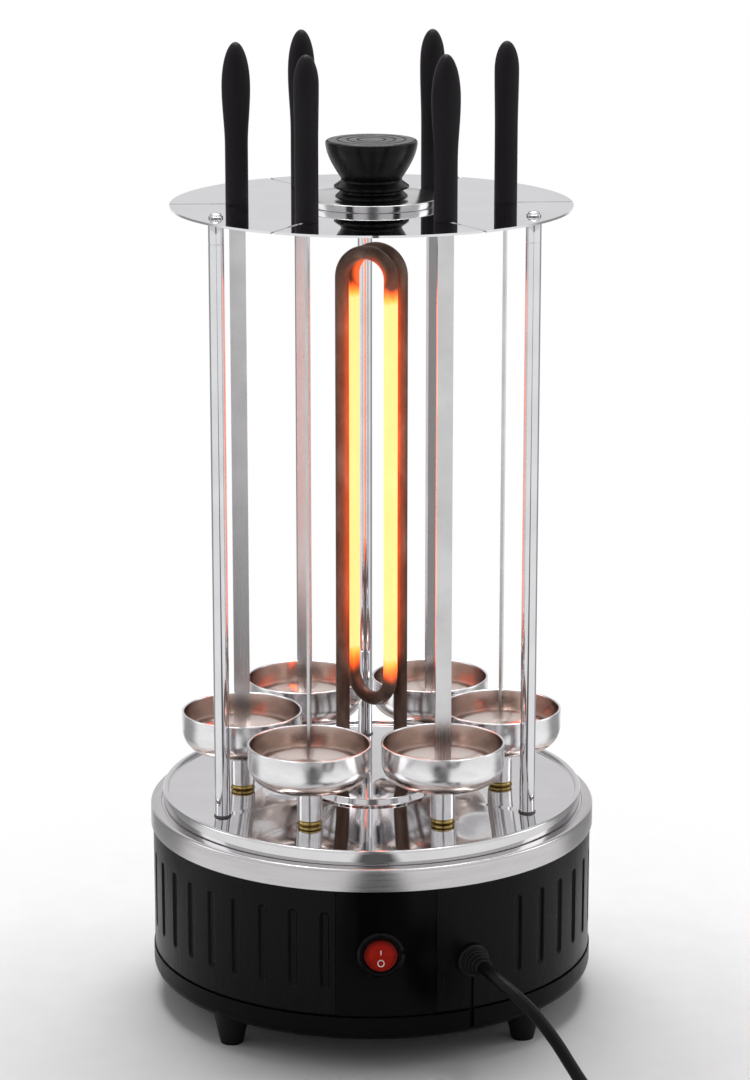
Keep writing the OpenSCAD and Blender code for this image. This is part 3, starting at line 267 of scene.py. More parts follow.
class Graph:
    """A node tree with small helpers for its nodes."""

    def __init__(self, tree):
        self.tree = tree
        self.tree.nodes.clear()
        self._coord = None

    def node(self, kind, **props):
        n = self.tree.nodes.new(kind)
        for key, value in props.items():
            setattr(n, key, value)
        return n

    def put(self, socket, value):
        if isinstance(value, bpy.types.NodeSocket):
            self.tree.links.new(value, socket)
        else:
            socket.default_value = value

    def coord(self, kind="Object"):
        if self._coord is None:
            self._coord = self.node("ShaderNodeTexCoord").outputs[kind]
        return self._coord

    def math(self, op, a, b=0.0):
        n = self.node("ShaderNodeMath", operation=op)
        self.put(n.inputs[0], a)
        self.put(n.inputs[1], b)
        return n.outputs[0]

    def split(self, vector):
        n = self.node("ShaderNodeSeparateXYZ")
        self.put(n.inputs[0], vector)
        return n.outputs

    def join(self, x, y, z):
        n = self.node("ShaderNodeCombineXYZ")
        for i, v in enumerate((x, y, z)):
            self.put(n.inputs[i], v)
        return n.outputs[0]

    def length(self, x, y):
        squares = self.math("ADD", self.math("MULTIPLY", x, x), self.math("MULTIPLY", y, y))
        return self.math("SQRT", squares)

    def scaled(self, x, y, z):
        n = self.node("ShaderNodeMapping")
        self.put(n.inputs["Vector"], self.coord())
        n.inputs["Scale"].default_value = (x, y, z)
        return n.outputs[0]

    def round_coord(self, centre, kr, ka, kz):
        """(radius, angle, height) about a vertical axis, each scaled."""
        x, y, z = self.split(self.coord())[:3]
        x = self.math("SUBTRACT", x, centre[0] * MM)
        y = self.math("SUBTRACT", y, centre[1] * MM)
        r, a = self.length(x, y), self.math("ARCTAN2", y, x)
        return self.join(*[self.math("MULTIPLY", v, k) for v, k in ((r, kr), (a, ka), (z, kz))])

    def noise(self, vector, scale, detail, rough=0.55):
        n = self.node("ShaderNodeTexNoise")
        self.put(n.inputs["Vector"], vector)
        n.inputs["Scale"].default_value = scale
        n.inputs["Detail"].default_value = detail
        n.inputs["Roughness"].default_value = rough
        return n.outputs["Fac"]

    def voronoi(self, vector, scale):
        n = self.node("ShaderNodeTexVoronoi")
        self.put(n.inputs["Vector"], vector)
        n.inputs["Scale"].default_value = scale
        return n.outputs["Distance"]

    def span(self, value, lo, hi, to_lo=0.0, to_hi=1.0, smooth=False):
        n = self.node("ShaderNodeMapRange", clamp=True,
                      interpolation_type="SMOOTHSTEP" if smooth else "LINEAR")
        for i, v in enumerate((value, lo, hi, to_lo, to_hi)):
            self.put(n.inputs[i], v)
        return n.outputs[0]

    def ramp(self, value, stops):
        n = self.node("ShaderNodeValToRGB")
        self.put(n.inputs[0], value)
        e = n.color_ramp.elements
        while len(e) < len(stops):
            e.new(0.5)
        for item, (pos, col) in zip(e, stops):
            item.position = pos
            item.color = col
        return n.outputs[0]

    def mix(self, factor, a, b):
        n = self.node("ShaderNodeMix", data_type="RGBA")
        self.put(n.inputs[0], factor)
        self.put(n.inputs[6], a)
        self.put(n.inputs[7], b)
        return n.outputs[2]

    def mix_shader(self, factor, a, b):
        n = self.node("ShaderNodeMixShader")
        for socket, value in zip(n.inputs, (factor, a, b)):
            self.put(socket, value)
        return n.outputs[0]

    def band(self, value, centre, half, soft, depth):
        """1 away from a centre value, less by depth within half of it, with soft sides."""
        away = self.math("ABSOLUTE", self.math("SUBTRACT", value, centre))
        return self.span(away, half - soft, half + soft, 1.0 - depth, 1.0, smooth=True)

    def seen_by(self, *rays):
        path = self.node("ShaderNodeLightPath")
        total = path.outputs[f"Is {rays[0]} Ray"]
        for name in rays[1:]:
            total = self.math("MAXIMUM", total, path.outputs[f"Is {name} Ray"])
        return total


class Shader(Graph):
    """A principled material, with its other sockets by name, their spaces as underlines."""

    def __init__(self, name, color, metallic, roughness, **sockets):
        self.mat = bpy.data.materials.new(name)
        self.mat.use_nodes = True
        super().__init__(self.mat.node_tree)
        self.out = self.node("ShaderNodeOutputMaterial")
        self.bsdf = self.node("ShaderNodeBsdfPrincipled")
        self.put(self.out.inputs[0], self.bsdf.outputs[0])
        self.set("Base Color", color)
        self.set("Metallic", metallic)
        self.set("Roughness", roughness)
        for key, value in sockets.items():
            self.set(key.replace("_", " "), value)

    def set(self, name, value):
        self.put(self.bsdf.inputs[name], value)

    def soft_edges(self, radius):
        n = self.node("ShaderNodeBevel", samples=6)
        n.inputs["Radius"].default_value = radius * MM
        return n.outputs[0]

    def bump(self, height, distance, strength, normal=None):
        n = self.node("ShaderNodeBump")
        n.inputs["Strength"].default_value = strength
        n.inputs["Distance"].default_value = distance * MM
        self.put(n.inputs["Height"], height)
        if normal is not None:
            self.put(n.inputs["Normal"], normal)
        return n.outputs[0]


def paint(obj, material):
    obj.data.materials.clear()
    obj.data.materials.append(material)
    return obj


def paint_node(name, material):
    obj = nodes[name]
    if not obj.material_slots:
        obj.data.materials.append(material)
    for s in obj.material_slots:
        s.material = material


def stands_for(obj, body, slot, material, *names):
    """Paints a new piece, puts it on its body and hides the nodes it stands for."""
    paint(obj, material)
    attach(obj, body)
    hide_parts(*names)
    return obj


# ---------------------------------------------------------------- materials

def black_plastic(name, tone=(12, 11, 12), rough=(0.24, 0.32), grain=900.0, depth=0.012, shine=0.1):
    """Moulded black plastic with faint flow marks and a fine grain."""
    s = Shader(name, lin(*tone), 0.0, 0.3, Specular_IOR_Level=shine)
    flow = s.noise(s.round_coord((0, 0), 40.0, 9.0, 6.0), 3.0, 4.0)
    fine = s.noise(s.coord(), grain, 3.0)
    s.set("Roughness", s.span(flow, 0.3, 0.72, rough[0], rough[1]))
    s.set("Base Color", s.mix(s.span(flow, 0.25, 0.8), lin(*tone), lin(*[c + 3 for c in tone])))
    s.set("Normal", s.bump(fine, depth, 0.3))
    return s.mat


def matte_black(name, tone, grain=700.0, depth=0.03, rough=(0.42, 0.6), shine=0.16):
    """Dull black plastic or rubber with a fine grain."""
    s = Shader(name, lin(*tone), 0.0, 0.5, Specular_IOR_Level=shine)
    fine = s.noise(s.coord(), grain, 3.0)
    patch = s.noise(s.coord(), 35.0, 3.0)
    s.set("Roughness", s.span(patch, 0.3, 0.7, rough[0], rough[1]))
    s.set("Base Color", s.mix(s.span(patch, 0.3, 0.75), lin(*tone), lin(*[c + 6 for c in tone])))
    s.set("Normal", s.bump(fine, depth, 0.4))
    return s.mat


def knob_black(name):
    """The knob's black plastic, its top greyed a little by dust and a painted highlight, and more along
    its grooves.
    """
    black = lin(12, 12, 14)
    s = Shader(name, black, 0.0, 0.25, Specular_IOR_Level=0.2)
    x, y, z = s.split(s.coord())[:3]
    r = s.length(x, y)
    top_z = Z_KNOB + KNOB_H
    # The grey on the top, stronger along the grooves, is partly dust and partly a painted highlight from
    # the top light.
    dust_and_sheen_top = s.span(z, (top_z - 1.0) * MM, (top_z - 0.6) * MM)
    line = None
    for radius in KNOB_GROOVES:
        one = s.math("SUBTRACT", 1.0, s.band(r, radius * MM, 0.9 * MM, 0.35 * MM, 1.0))
        line = one if line is None else s.math("MAXIMUM", line, one)
    patch = s.noise(s.coord(), 160.0, 4.0)
    top = s.math("MULTIPLY", dust_and_sheen_top, s.span(line, 0.0, 1.0, 0.35, 1.0))
    grey = s.mix(s.span(patch, 0.3, 0.7), lin(52, 52, 54), lin(74, 74, 76))
    s.set("Base Color", s.mix(top, black, grey))
    s.set("Roughness", s.span(patch, 0.3, 0.7, 0.2, 0.36))
    s.set("Normal", s.bump(s.noise(s.coord(), 1100.0, 2.0), 0.01, 0.3))
    return s.mat


def mirror_steel(name, tone, rough, wave):
    """Polished sheet with smudges and slow waves."""
    s = Shader(name, lin(*tone), 1.0, 0.05)
    smudge = s.noise(s.coord(), 28.0, 5.0, 0.6)
    fine = s.noise(s.coord(), 1400.0, 2.0)
    slow = s.noise(s.coord(), 14.0, 1.0)
    s.set("Roughness", s.span(smudge, 0.35, 0.75, rough[0], rough[1]))
    s.set("Base Color", s.mix(s.span(smudge, 0.3, 0.8), lin(*tone), shaded(tone, 12)))
    s.set("Normal", s.bump(fine, 0.004, 0.4, s.bump(slow, wave, 0.15)))
    return s.mat


def brushed_round(name, centre, tone, rough, depth, lines=1800.0, edge=0.4, inside=None):
    """Steel brushed round a vertical axis, with painted shade and a painted warm reflection of the
    heater's glow inside (radius, from z, to z, tone).
    """
    s = Shader(name, lin(*tone), 1.0, 0.28)
    line = s.noise(s.round_coord(centre, lines, 2.2, lines), 1.0, 4.0, 0.7)
    broad = s.noise(s.round_coord(centre, 160.0, 1.6, 160.0), 1.0, 3.0)
    s.set("Roughness", s.span(line, 0.25, 0.75, rough[0], rough[1]))
    steel = s.mix(s.span(broad, 0.3, 0.7), lin(*tone), shaded(tone, 14))
    # Inside, the steel turns darker and warmer: painted shade and a painted reflection of the heater's
    # glow.
    if inside:
        radius, low, high, painted_shade_and_glow = inside
        x, y, z = s.split(s.coord())[:3]
        r = s.length(s.math("SUBTRACT", x, centre[0] * MM), s.math("SUBTRACT", y, centre[1] * MM))
        deep = s.math("MULTIPLY", s.span(r, radius * MM, (radius - 0.4) * MM),
                      s.span(z, low * MM, (low + 0.3) * MM))
        deep = s.math("MULTIPLY", deep, s.span(z, high * MM, (high - 1.0) * MM))
        steel = s.mix(deep, steel, lin(*painted_shade_and_glow))
    s.set("Base Color", steel)
    s.set("Normal", s.bump(line, depth, 0.35, s.soft_edges(edge) if edge else None))
    return s.mat


def drawn_steel(name, tone, rough, depth, edge=0.0):
    """Steel with lines along Z, as drawn tube or strip."""
    s = Shader(name, lin(*tone), 1.0, 0.18)
    line = s.noise(s.scaled(2600.0, 2600.0, 14.0), 1.0, 3.0, 0.6)
    patch = s.noise(s.coord(), 40.0, 3.0)
    both = s.math("ADD", s.math("MULTIPLY", line, 0.5), s.math("MULTIPLY", patch, 0.5))
    s.set("Roughness", s.span(both, 0.3, 0.7, rough[0], rough[1]))
    s.set("Base Color", s.mix(s.span(patch, 0.3, 0.75), lin(*tone), shaded(tone, 14)))
    s.set("Normal", s.bump(line, depth, 0.4, s.soft_edges(edge) if edge else None))
    return s.mat


def turned_metal(name, centre, tone, dark, rough=(0.14, 0.3)):
    """Lathe-turned metal with fine rings and darker tarnish."""
    s = Shader(name, lin(*tone), 1.0, 0.2)
    rings = s.noise(s.round_coord(centre, 2200.0, 1.0, 2200.0), 1.0, 3.0)
    tarnish = s.noise(s.coord(), 180.0, 4.0, 0.6)
    s.set("Roughness", s.span(tarnish, 0.3, 0.75, rough[0], rough[1]))
    s.set("Base Color", s.mix(s.span(tarnish, 0.42, 0.75), lin(*tone), lin(*dark)))
    s.set("Normal", s.bump(rings, 0.01, 0.4))
    return s.mat


def plain_metal(name, tone, rough=(0.25, 0.42)):
    """Zinc-plated or rolled sheet with faint crystals."""
    s = Shader(name, lin(*tone), 1.0, 0.35)
    cells = s.voronoi(s.coord(), 900.0)
    patch = s.noise(s.coord(), 60.0, 4.0)
    s.set("Roughness", s.span(patch, 0.3, 0.7, rough[0], rough[1]))
    s.set("Base Color", s.mix(s.span(cells, 0.1, 0.9), lin(*tone), shaded(tone, 12)))
    s.set("Normal", s.bump(patch, 0.01, 0.15))
    return s.mat


def pale_plastic(name, tone, shade, rough):
    """Light plastic or ceramic with a fine grain."""
    s = Shader(name, lin(*tone), 0.0, 0.4)
    fine = s.noise(s.coord(), 600.0, 3.0)
    patch = s.noise(s.coord(), 45.0, 3.0)
    s.set("Roughness", s.span(patch, 0.3, 0.7, rough[0], rough[1]))
    s.set("Base Color", s.mix(s.span(patch, 0.3, 0.75), lin(*tone), shaded(tone, shade)))
    s.set("Normal", s.bump(fine, 0.02, 0.3))
    return s.mat


# Heights between which the hot legs' glow and the outer legs' painted glow come up, from below and from
# above, and the middle of an arch, round which its painted glow lies
GLOW_LOW, GLOW_HIGH = (178.0, 192.0), (393.0, 383.0)
PAINTED_GLOW_LOW, PAINTED_GLOW_HIGH = (184.0, 215.0), (404.0, 372.0)
ARCH_X, ARCH_Y, ARCH_Z, ARCH_FROM = 2.95, 5.5, 396.0, (386.0, 390.0)


def hot_tube(name):
    """Oxidised heater tube: its middle legs glow; the outer legs' inward sides and the arches' inner
    sides carry a little painted glow of the bars' light.
    """
    s = Shader(name, lin(58, 38, 28), 0.5, 0.45)
    x, y, z = s.split(s.coord())[:3]
    near = None
    for leg in HOT_LEGS:
        away = s.length(s.math("SUBTRACT", x, leg[0] * MM), s.math("SUBTRACT", y, leg[1] * MM))
        near = away if near is None else s.math("MINIMUM", near, away)
    scale = s.noise(s.scaled(420.0, 420.0, 160.0), 1.0, 5.0, 0.65)
    patch = s.noise(s.scaled(90.0, 90.0, 40.0), 1.0, 4.0)
    ragged = s.span(patch, 0.3, 0.7, -2.0 * MM, 2.0 * MM)
    z = s.math("ADD", z, ragged)

    def between(low, high):
        return s.math("MINIMUM", *[s.span(z, end[0] * MM, end[1] * MM) for end in (low, high)])

    bright = between(GLOW_LOW, GLOW_HIGH)
    heat_and_painted_glow = s.math("MULTIPLY", bright, s.span(near, 5.4 * MM, 6.4 * MM, 1.0, 0.0))
    # A painted glow of the bars' light on the outer legs' inward sides.
    painted_glow_band = between(PAINTED_GLOW_LOW, PAINTED_GLOW_HIGH)
    painted_glow_inward = s.span(s.math("ABSOLUTE", x), 12.5 * MM, 18.5 * MM, 0.2, 0.03)
    heat_and_painted_glow = s.math("MAXIMUM", heat_and_painted_glow, s.math("MULTIPLY", painted_glow_band, painted_glow_inward))
    # A painted glow of the bars' light on the inner side of each arch, towards its hot leg.
    for side in (-1, 1):
        off_x, off_y = [s.math("SUBTRACT", v, side * mid * MM) for v, mid in ((x, ARCH_X), (y, ARCH_Y))]
        bend = s.length(s.length(off_x, off_y), s.math("SUBTRACT", z, ARCH_Z * MM))
        lit = s.math("MULTIPLY", s.span(bend, 11.0 * MM, 14.6 * MM, 0.36, 0.0),
                     s.span(z, ARCH_FROM[0] * MM, ARCH_FROM[1] * MM))
        inner = s.span(s.math("MULTIPLY", x, side), 6.0 * MM, -8.0 * MM)
        heat_and_painted_glow = s.math("MAXIMUM", heat_and_painted_glow, s.math("MULTIPLY", lit, inner))
    browns = [(0.0, lin(56, 42, 36)), (0.45, lin(98, 76, 64)), (1.0, lin(142, 120, 106))]
    s.set("Base Color", s.ramp(s.span(patch, 0.25, 0.8), browns))
    s.set("Roughness", s.span(scale, 0.3, 0.75, 0.34, 0.6))
    s.set("Metallic", s.span(scale, 0.3, 0.8, 0.35, 0.7))
    s.set("Normal", s.bump(scale, 0.06, 0.5))
    flick = s.span(scale, 0.2, 0.8, 0.95, 1.05)
    s.set("Emission Color", s.ramp(s.math("MULTIPLY", heat_and_painted_glow, flick),
                                   [(0.0, (0.0, 0.0, 0.0, 1)), (0.12, (0.03, 0.0035, 0.0, 1)),
                                    (0.3, (0.15, 0.015, 0.001, 1)), (0.55, (0.5, 0.05, 0.004, 1)),
                                    (0.8, (0.85, 0.105, 0.014, 1)), (1.0, (1.0, 0.147, 0.05, 1))]))
    s.set("Emission Strength", 6.2)
    return s.mat


def red_lens(name):
    """The rocker's deep red plastic, faintly lit from inside, its colour darker towards the rim by
    painted shade.
    """
    s = Shader(name, lin(132, 16, 10), 0.0, 0.2, Specular_IOR_Level=0.2)
    x, _, z = s.split(s.coord())[:3]
    r = s.length(x, s.math("SUBTRACT", z, SWITCH.z * MM))
    rim_painted_shade = s.span(r, 5.0 * MM, 9.0 * MM, smooth=True)
    cloud = s.noise(s.coord(), 220.0, 3.0)
    middle = s.mix(s.span(cloud, 0.3, 0.7), lin(158, 20, 8), lin(174, 34, 14))
    # Towards the rim the colour darkens to a painted shade, and the glow from inside fades.
    s.set("Base Color", s.mix(rim_painted_shade, middle, lin(92, 7, 4)))
    s.set("Emission Color", lin(200, 34, 16))
    s.set("Emission Strength", s.span(rim_painted_shade, 0.0, 1.0, 0.07, 0.01))
    s.set("Normal", s.bump(s.noise(s.coord(), 900.0, 2.0), 0.01, 0.2))
    return s.mat


m_housing = black_plastic("black_housing")
m_cover = black_plastic("black_cover", (10, 9, 10), (0.3, 0.4), 900.0, 0.012, 0.07)
m_panel = black_plastic("black_panel", (8, 7, 9), (0.14, 0.18), 500.0, 0.006, 0.07)
m_bezel = black_plastic("black_bezel", (9, 9, 10), (0.16, 0.24), 700.0, 0.008, 0.1)
m_knob = knob_black("black_knob")
m_handle = matte_black("matte_black_handle", (35, 32, 35), 900.0, 0.02, (0.4, 0.52), 0.1)
m_feet = matte_black("matte_black_feet", (17, 17, 19))
m_rubber = matte_black("black_rubber", (15, 14, 16), 1200.0, 0.02, (0.32, 0.44), 0.16)
m_seal = pale_plastic("clear_seal", (120, 118, 116), 20, (0.4, 0.6))
m_ring = brushed_round("brushed_ring", (0, 0), (206, 204, 205), (0.17, 0.27), 0.01, edge=0.0)
m_tray = mirror_steel("mirror_tray", (222, 221, 222), (0.03, 0.07), 0.2)
m_plate = mirror_steel("mirror_plate", (232, 232, 235), (0.02, 0.05), 0.25)
m_disc = drawn_steel("polished_disc", (205, 204, 204), (0.1, 0.2), 0.004)
m_post = drawn_steel("polished_post", (228, 228, 231), (0.05, 0.1), 0.003)
m_blade = drawn_steel("blade_steel", (214, 213, 214), (0.2, 0.3), 0.004, 0.2)
m_screw = plain_metal("screw_steel", (188, 186, 187), (0.2, 0.3))
m_zinc = plain_metal("galvanised_sheet", (160, 162, 166))
m_motor = plain_metal("motor_can", (150, 152, 156))
m_pinion = plain_metal("machined_steel", (168, 168, 172), (0.2, 0.32))
m_alu = plain_metal("cutout_aluminium", (180, 178, 172), (0.3, 0.5))
m_ceramic = pale_plastic("steatite", (222, 216, 204), 14, (0.5, 0.7))
m_nylon = pale_plastic("nylon_gears", (226, 222, 206), 12, (0.35, 0.5))
m_block = pale_plastic("white_block", (224, 224, 218), 10, (0.3, 0.45))
m_wire = pale_plastic("wire_sleeves", (196, 190, 178), 26, (0.45, 0.6))
m_mark = pale_plastic("white_marks", (252, 250, 246), 4, (0.4, 0.55))
m_bush = turned_metal("bronze_bushes", (0, 0), (150, 118, 70), (96, 72, 42), (0.3, 0.45))
m_pins = turned_metal("nickel_pins", (0, 0), (206, 202, 190), (160, 152, 136))
m_heater = hot_tube("glowing_heater")
m_rocker = red_lens("rocker_red")

for name, mat in {
        "control_panel": m_panel, "bottom_cover": m_cover, "feet": m_feet, "cover_screws": m_screw,
        "gear_deck": m_zinc, "deck_screws": m_screw, "post_nuts": m_screw, "top_plate": m_plate,
        "knob_screw": m_screw, "heater_insulators": m_ceramic, "heater_bracket": m_zinc,
        "spindle_bushes": m_bush,
        "drive_gear": m_nylon, "motor": m_motor, "motor_pinion": m_pinion, "rocker_bezel": m_bezel,
        "terminal_block": m_block, "thermal_cutout": m_alu, "wiring": m_wire, "plug": m_rubber,
        "plug_pins": m_pins}.items():
    paint_node(name, mat)

for n in PLACES:
    brass = turned_metal(f"turned_brass_{n}", place[n], (200, 176, 112), (124, 102, 60))
    paint_node(f"spindle_{n}", brass)
    paint_node(f"skewer_blade_{n}", m_blade)


# ---------------------------------------------------------------- mains cord

CORD_R, RELIEF_BORE, RELIEF_LEN = 3.3, 11.0, 14.0
cord_points = [polar(HOUSING_R + out, RELIEF_ANGLE, Z_RELIEF) for out in (RELIEF_BORE, RELIEF_LEN)]
cord_points += [Vector(p) for p in (
    (56.5, -129, 56.3), (61, -136.5, 54.5), (67.5, -143.5, 50.5), (75, -149, 44.5),
    (82, -153.5, 37), (88.5, -157.5, 28.5), (94.5, -162, 19.5), (100.5, -168.5, 11.5),
    (106.5, -177, 6), (112, -187, 3.6), (116.5, -196, 3.3), (120.2, -203.8, 3.3),
    (125.2, -212.5, 3.3))]
COIL_R, COIL_STEP, COIL_START, COIL_IN, COIL_OUT, COIL_POINTS = 43.0, 7.1, 30.0, 2.0, 11 / 6, 36
PLUG_R = 18.5
coil_mid = cord_points[-1] - COIL_R * Vector((math.cos(math.radians(COIL_START)),
                                              math.sin(math.radians(COIL_START)), 0))


def coil_point(turns):
    """A point of the coil: inwards below, then outwards on the first layer."""
    back = COIL_IN + 0.25
    r = COIL_R - COIL_STEP * (turns if turns < back else 2 * back - turns)
    climb = min(1.0, max(0.0, (turns - COIL_IN) * 2))
    a = math.radians(COIL_START - 360 * turns)
    return Vector((coil_mid.x + r * math.cos(a), coil_mid.y + r * math.sin(a),
                   CORD_R + COIL_STEP * climb))


coil_turns = COIL_IN + 0.5 + COIL_OUT
coil_end = coil_point(coil_turns)
tail = [coil_end + Vector((-d, 0, up * (PLUG_R - CORD_R - COIL_STEP))) for d, up in
        ((8, 0), (18, 0), (28, 0.03), (40, 0.35), (52, 0.79), (62, 1), (70, 1))]
route = catmull(cord_points, 4)
route += [coil_point(i / COIL_POINTS) for i in range(1, int(coil_turns * COIL_POINTS) + 1)]
route += catmull([coil_point(coil_turns - 1 / COIL_POINTS), coil_end] + tail, 4)[5:]

curve = bpy.data.curves.new("mains_cord", "CURVE")
curve.dimensions = "3D"
curve.bevel_depth = CORD_R * MM
curve.bevel_resolution = 5
curve.use_fill_caps = True
spline = curve.splines.new("POLY")
spline.points.add(len(route) - 1)
for p, v in zip(spline.points, route):
    p.co = (v.x * MM, v.y * MM, v.z * MM, 1.0)
spline.use_smooth = True
cord = link(bpy.data.objects.new("mains_cord", curve))
stands_for(cord, "base", "cord", m_rubber, "cord", "cord_coil")


# ---------------------------------------------------------------- strain relief

relief_outline = rounded([
    (0, -8), (7.4, -8, 0.5), (7.4, -6, 0.5), (5.9, -5.7), (5.9, -0.4), (8.9, -0.4), (8.9, 2.1, 0.5),
    (8.0, 3.0, 0.5), (6.9, 3.0, 0.4), (6.6, 4.6, 0.3), (6.0, 5.0, 0.2), (5.95, 5.7, 0.2),
    (6.4, 6.1, 0.3), (6.1, 7.3, 0.3), (5.5, 7.7, 0.2), (5.45, 8.4, 0.2), (5.8, 8.8, 0.3),
    (5.45, 10.2, 0.3), (4.95, 10.6, 0.2), (4.9, 11.3, 0.2), (5.2, 11.7, 0.3), (4.7, RELIEF_LEN, 0.6),
    (3.4, RELIEF_LEN), (3.4, RELIEF_BORE), (0, RELIEF_BORE)])
relief_place = outward(HOUSING_R, RELIEF_ANGLE, Z_RELIEF)
relief = placed(lathe("cord_sleeve", relief_outline, steps=64), relief_place)
stands_for(relief, "base", "relief", m_rubber, "strain_relief")


# ---------------------------------------------------------------- skewer handles

HANDLE_LEN, HANDLE_W, HANDLE_D, HANDLE_NECK = 83.0, 14.9, 12.8, 12.0
HANDLE_TIP, HANDLE_BLUNT, HANDLE_SWELL = 23.0, 15.0, 31.0
HANDLE_DROP = Z_HANDLE - Z_PLATE_TOP - 0.03  # down to just above the plate
HANDLE_SIDES, HANDLE_EDGE, HANDLE_POINT = 48, 0.08, 0.03


def handle_half(full, d, tip):
    """Half of a handle's width or depth at a distance below its top."""
    if d < tip:
        return math.sqrt(max(0.0, 1 - (1 - d / tip) ** 2)) * full / 2
    t = (1 - math.cos(math.pi * min(1.0, (d - tip) / HANDLE_SWELL))) / 2
    return (full + (HANDLE_NECK - full) * t) / 2


handle_depths = [HANDLE_TIP * (1 - math.cos(math.radians(90 * i / 18))) for i in range(1, 19)]
handle_depths += [HANDLE_TIP + (HANDLE_LEN - 0.6 - HANDLE_TIP) * i / 30 for i in range(1, 31)]
for n in PLACES:
    turn = math.radians(HANDLE_TURNS[n - 1])
    mid_x, mid_y = place[n]
    sizes = [(handle_half(HANDLE_W, d, HANDLE_TIP), handle_half(HANDLE_D, d, HANDLE_BLUNT),
              HANDLE_LEN - d) for d in [HANDLE_POINT] + handle_depths]
    neck = HANDLE_NECK / 2
    sizes.append((neck, neck, HANDLE_EDGE - HANDLE_DROP))
    sizes.append((neck - HANDLE_EDGE, neck - HANDLE_EDGE, -HANDLE_DROP))
    loops = []
    for hw, hd, z in reversed(sizes):
        loop = []
        for i in range(HANDLE_SIDES):
            a = 2 * math.pi * i / HANDLE_SIDES
            x, y = hw * math.cos(a), hd * math.sin(a)
            loop.append((mid_x + x * math.cos(turn) - y * math.sin(turn),
                         mid_y + x * math.sin(turn) + y * math.cos(turn), Z_HANDLE + z))
        loops.append(loop)
    grip = from_rings(f"handle_grip_{n}", loops, angle=50)
    stands_for(grip, f"skewer_body_{n}", "handles", m_handle, f"skewer_handle_{n}")


# ---------------------------------------------------------------- heater tube

TUBE_R, Z_ARCH_TOP, Z_BEND_LOW, Z_LEG_END = 3.7, 413.4, 162.0, 91.4
LEG_X, LEG_X_TOP, Z_BOW_FROM, Z_BOW_TO = 17.0, 15.5, 121.0, 152.0
LEG_STEPS, BEND_STEPS, PIN_R, Z_PIN_END = 60, 28, 1.23, 86.4


def half_ring(p, q, z, side):
    """A half ring from p to q, over them for side 1 and under them for side -1."""
    mid = (p + q) / 2
    turns = [math.pi * i / BEND_STEPS for i in range(1, BEND_STEPS)]
    return [Vector((mid.x + (p.x - mid.x) * math.cos(t), mid.y + (p.y - mid.y) * math.cos(t),
                    z + side * (p - q).length / 2 * math.sin(t))) for t in turns]


def upright(p, z0, z1):
    return [Vector((p.x, p.y, z0 + (z1 - z0) * i / LEG_STEPS)) for i in range(LEG_STEPS + 1)]


def outer_leg(side, z0, z1):
    """An outer leg: plumb through the tray, then set in a little up to its arch."""
    out = []
    for i in range(LEG_STEPS + 1):
        z = z0 + (z1 - z0) * i / LEG_STEPS
        x = LEG_X + (LEG_X_TOP - LEG_X) * smoothstep(Z_BOW_FROM, Z_BOW_TO, z)
        out.append(Vector((side * x, 0, z)))
    return out


left, right = Vector((-LEG_X_TOP, 0, 0)), Vector((LEG_X_TOP, 0, 0))
hot_right, hot_left = [Vector((x, y, 0)) for x, y in HOT_LEGS]
z_arch = Z_ARCH_TOP - TUBE_R - (hot_right - left).length / 2
z_bend = Z_BEND_LOW + TUBE_R + (hot_right - hot_left).length / 2
path = (outer_leg(-1, Z_LEG_END, z_arch) + half_ring(left, hot_right, z_arch, 1)
        + upright(hot_right, z_arch, z_bend) + half_ring(hot_right, hot_left, z_bend, -1)
        + upright(hot_left, z_bend, z_arch) + half_ring(hot_left, right, z_arch, 1)
        + outer_leg(1, z_arch, Z_LEG_END))
heater = from_rings("heater_tube", tube_rings(path, TUBE_R, 28), angle=40)
heater_pins = [lathe(f"heater_pin_{i}", rod(PIN_R, Z_PIN_END, Z_LEG_END + 0.2), (x, 0), 24)
               for i, x in enumerate((-LEG_X, LEG_X))]
heater = joined("heater_tube", [heater] + heater_pins, 40)
stands_for(heater, "base", "heater", m_heater, "heater_element")


# ---------------------------------------------------------------- housing

FLUTE_FIRST, FLUTE_PITCH, FLUTE_COUNT = -14.0, 8.33, 38
FLUTE_HALF, FLUTE_DEPTH, FLUTE_LOW, FLUTE_TOP = 2.8, 1.3, 43.4, 86.4
PLAIN_TO, HOUSING_EDGE, LEDGE_T = 34.64, 0.3, 2.4
SWITCH_HOLE_R, RELIEF_HOLE_R, CUT_REACH = 10.3, 6.0, 6
BOSS_ANGLES, BOSS_CIRCLE_R = (-112, -68, 68, 112), 107.5
BOSS_R, BOSS_BORE, Z_BOSS, Z_BOSS_TOP = 4.5, 1.4, 18.2, 58.2


def flute_cut(across, z):
    """Depth of a flute at a distance across it and a height."""
    past = max(FLUTE_LOW + FLUTE_HALF - z, z - FLUTE_TOP + FLUTE_HALF, 0.0)
    return FLUTE_DEPTH * smoothstep(0.0, 1.5, FLUTE_HALF - math.hypot(across, past))


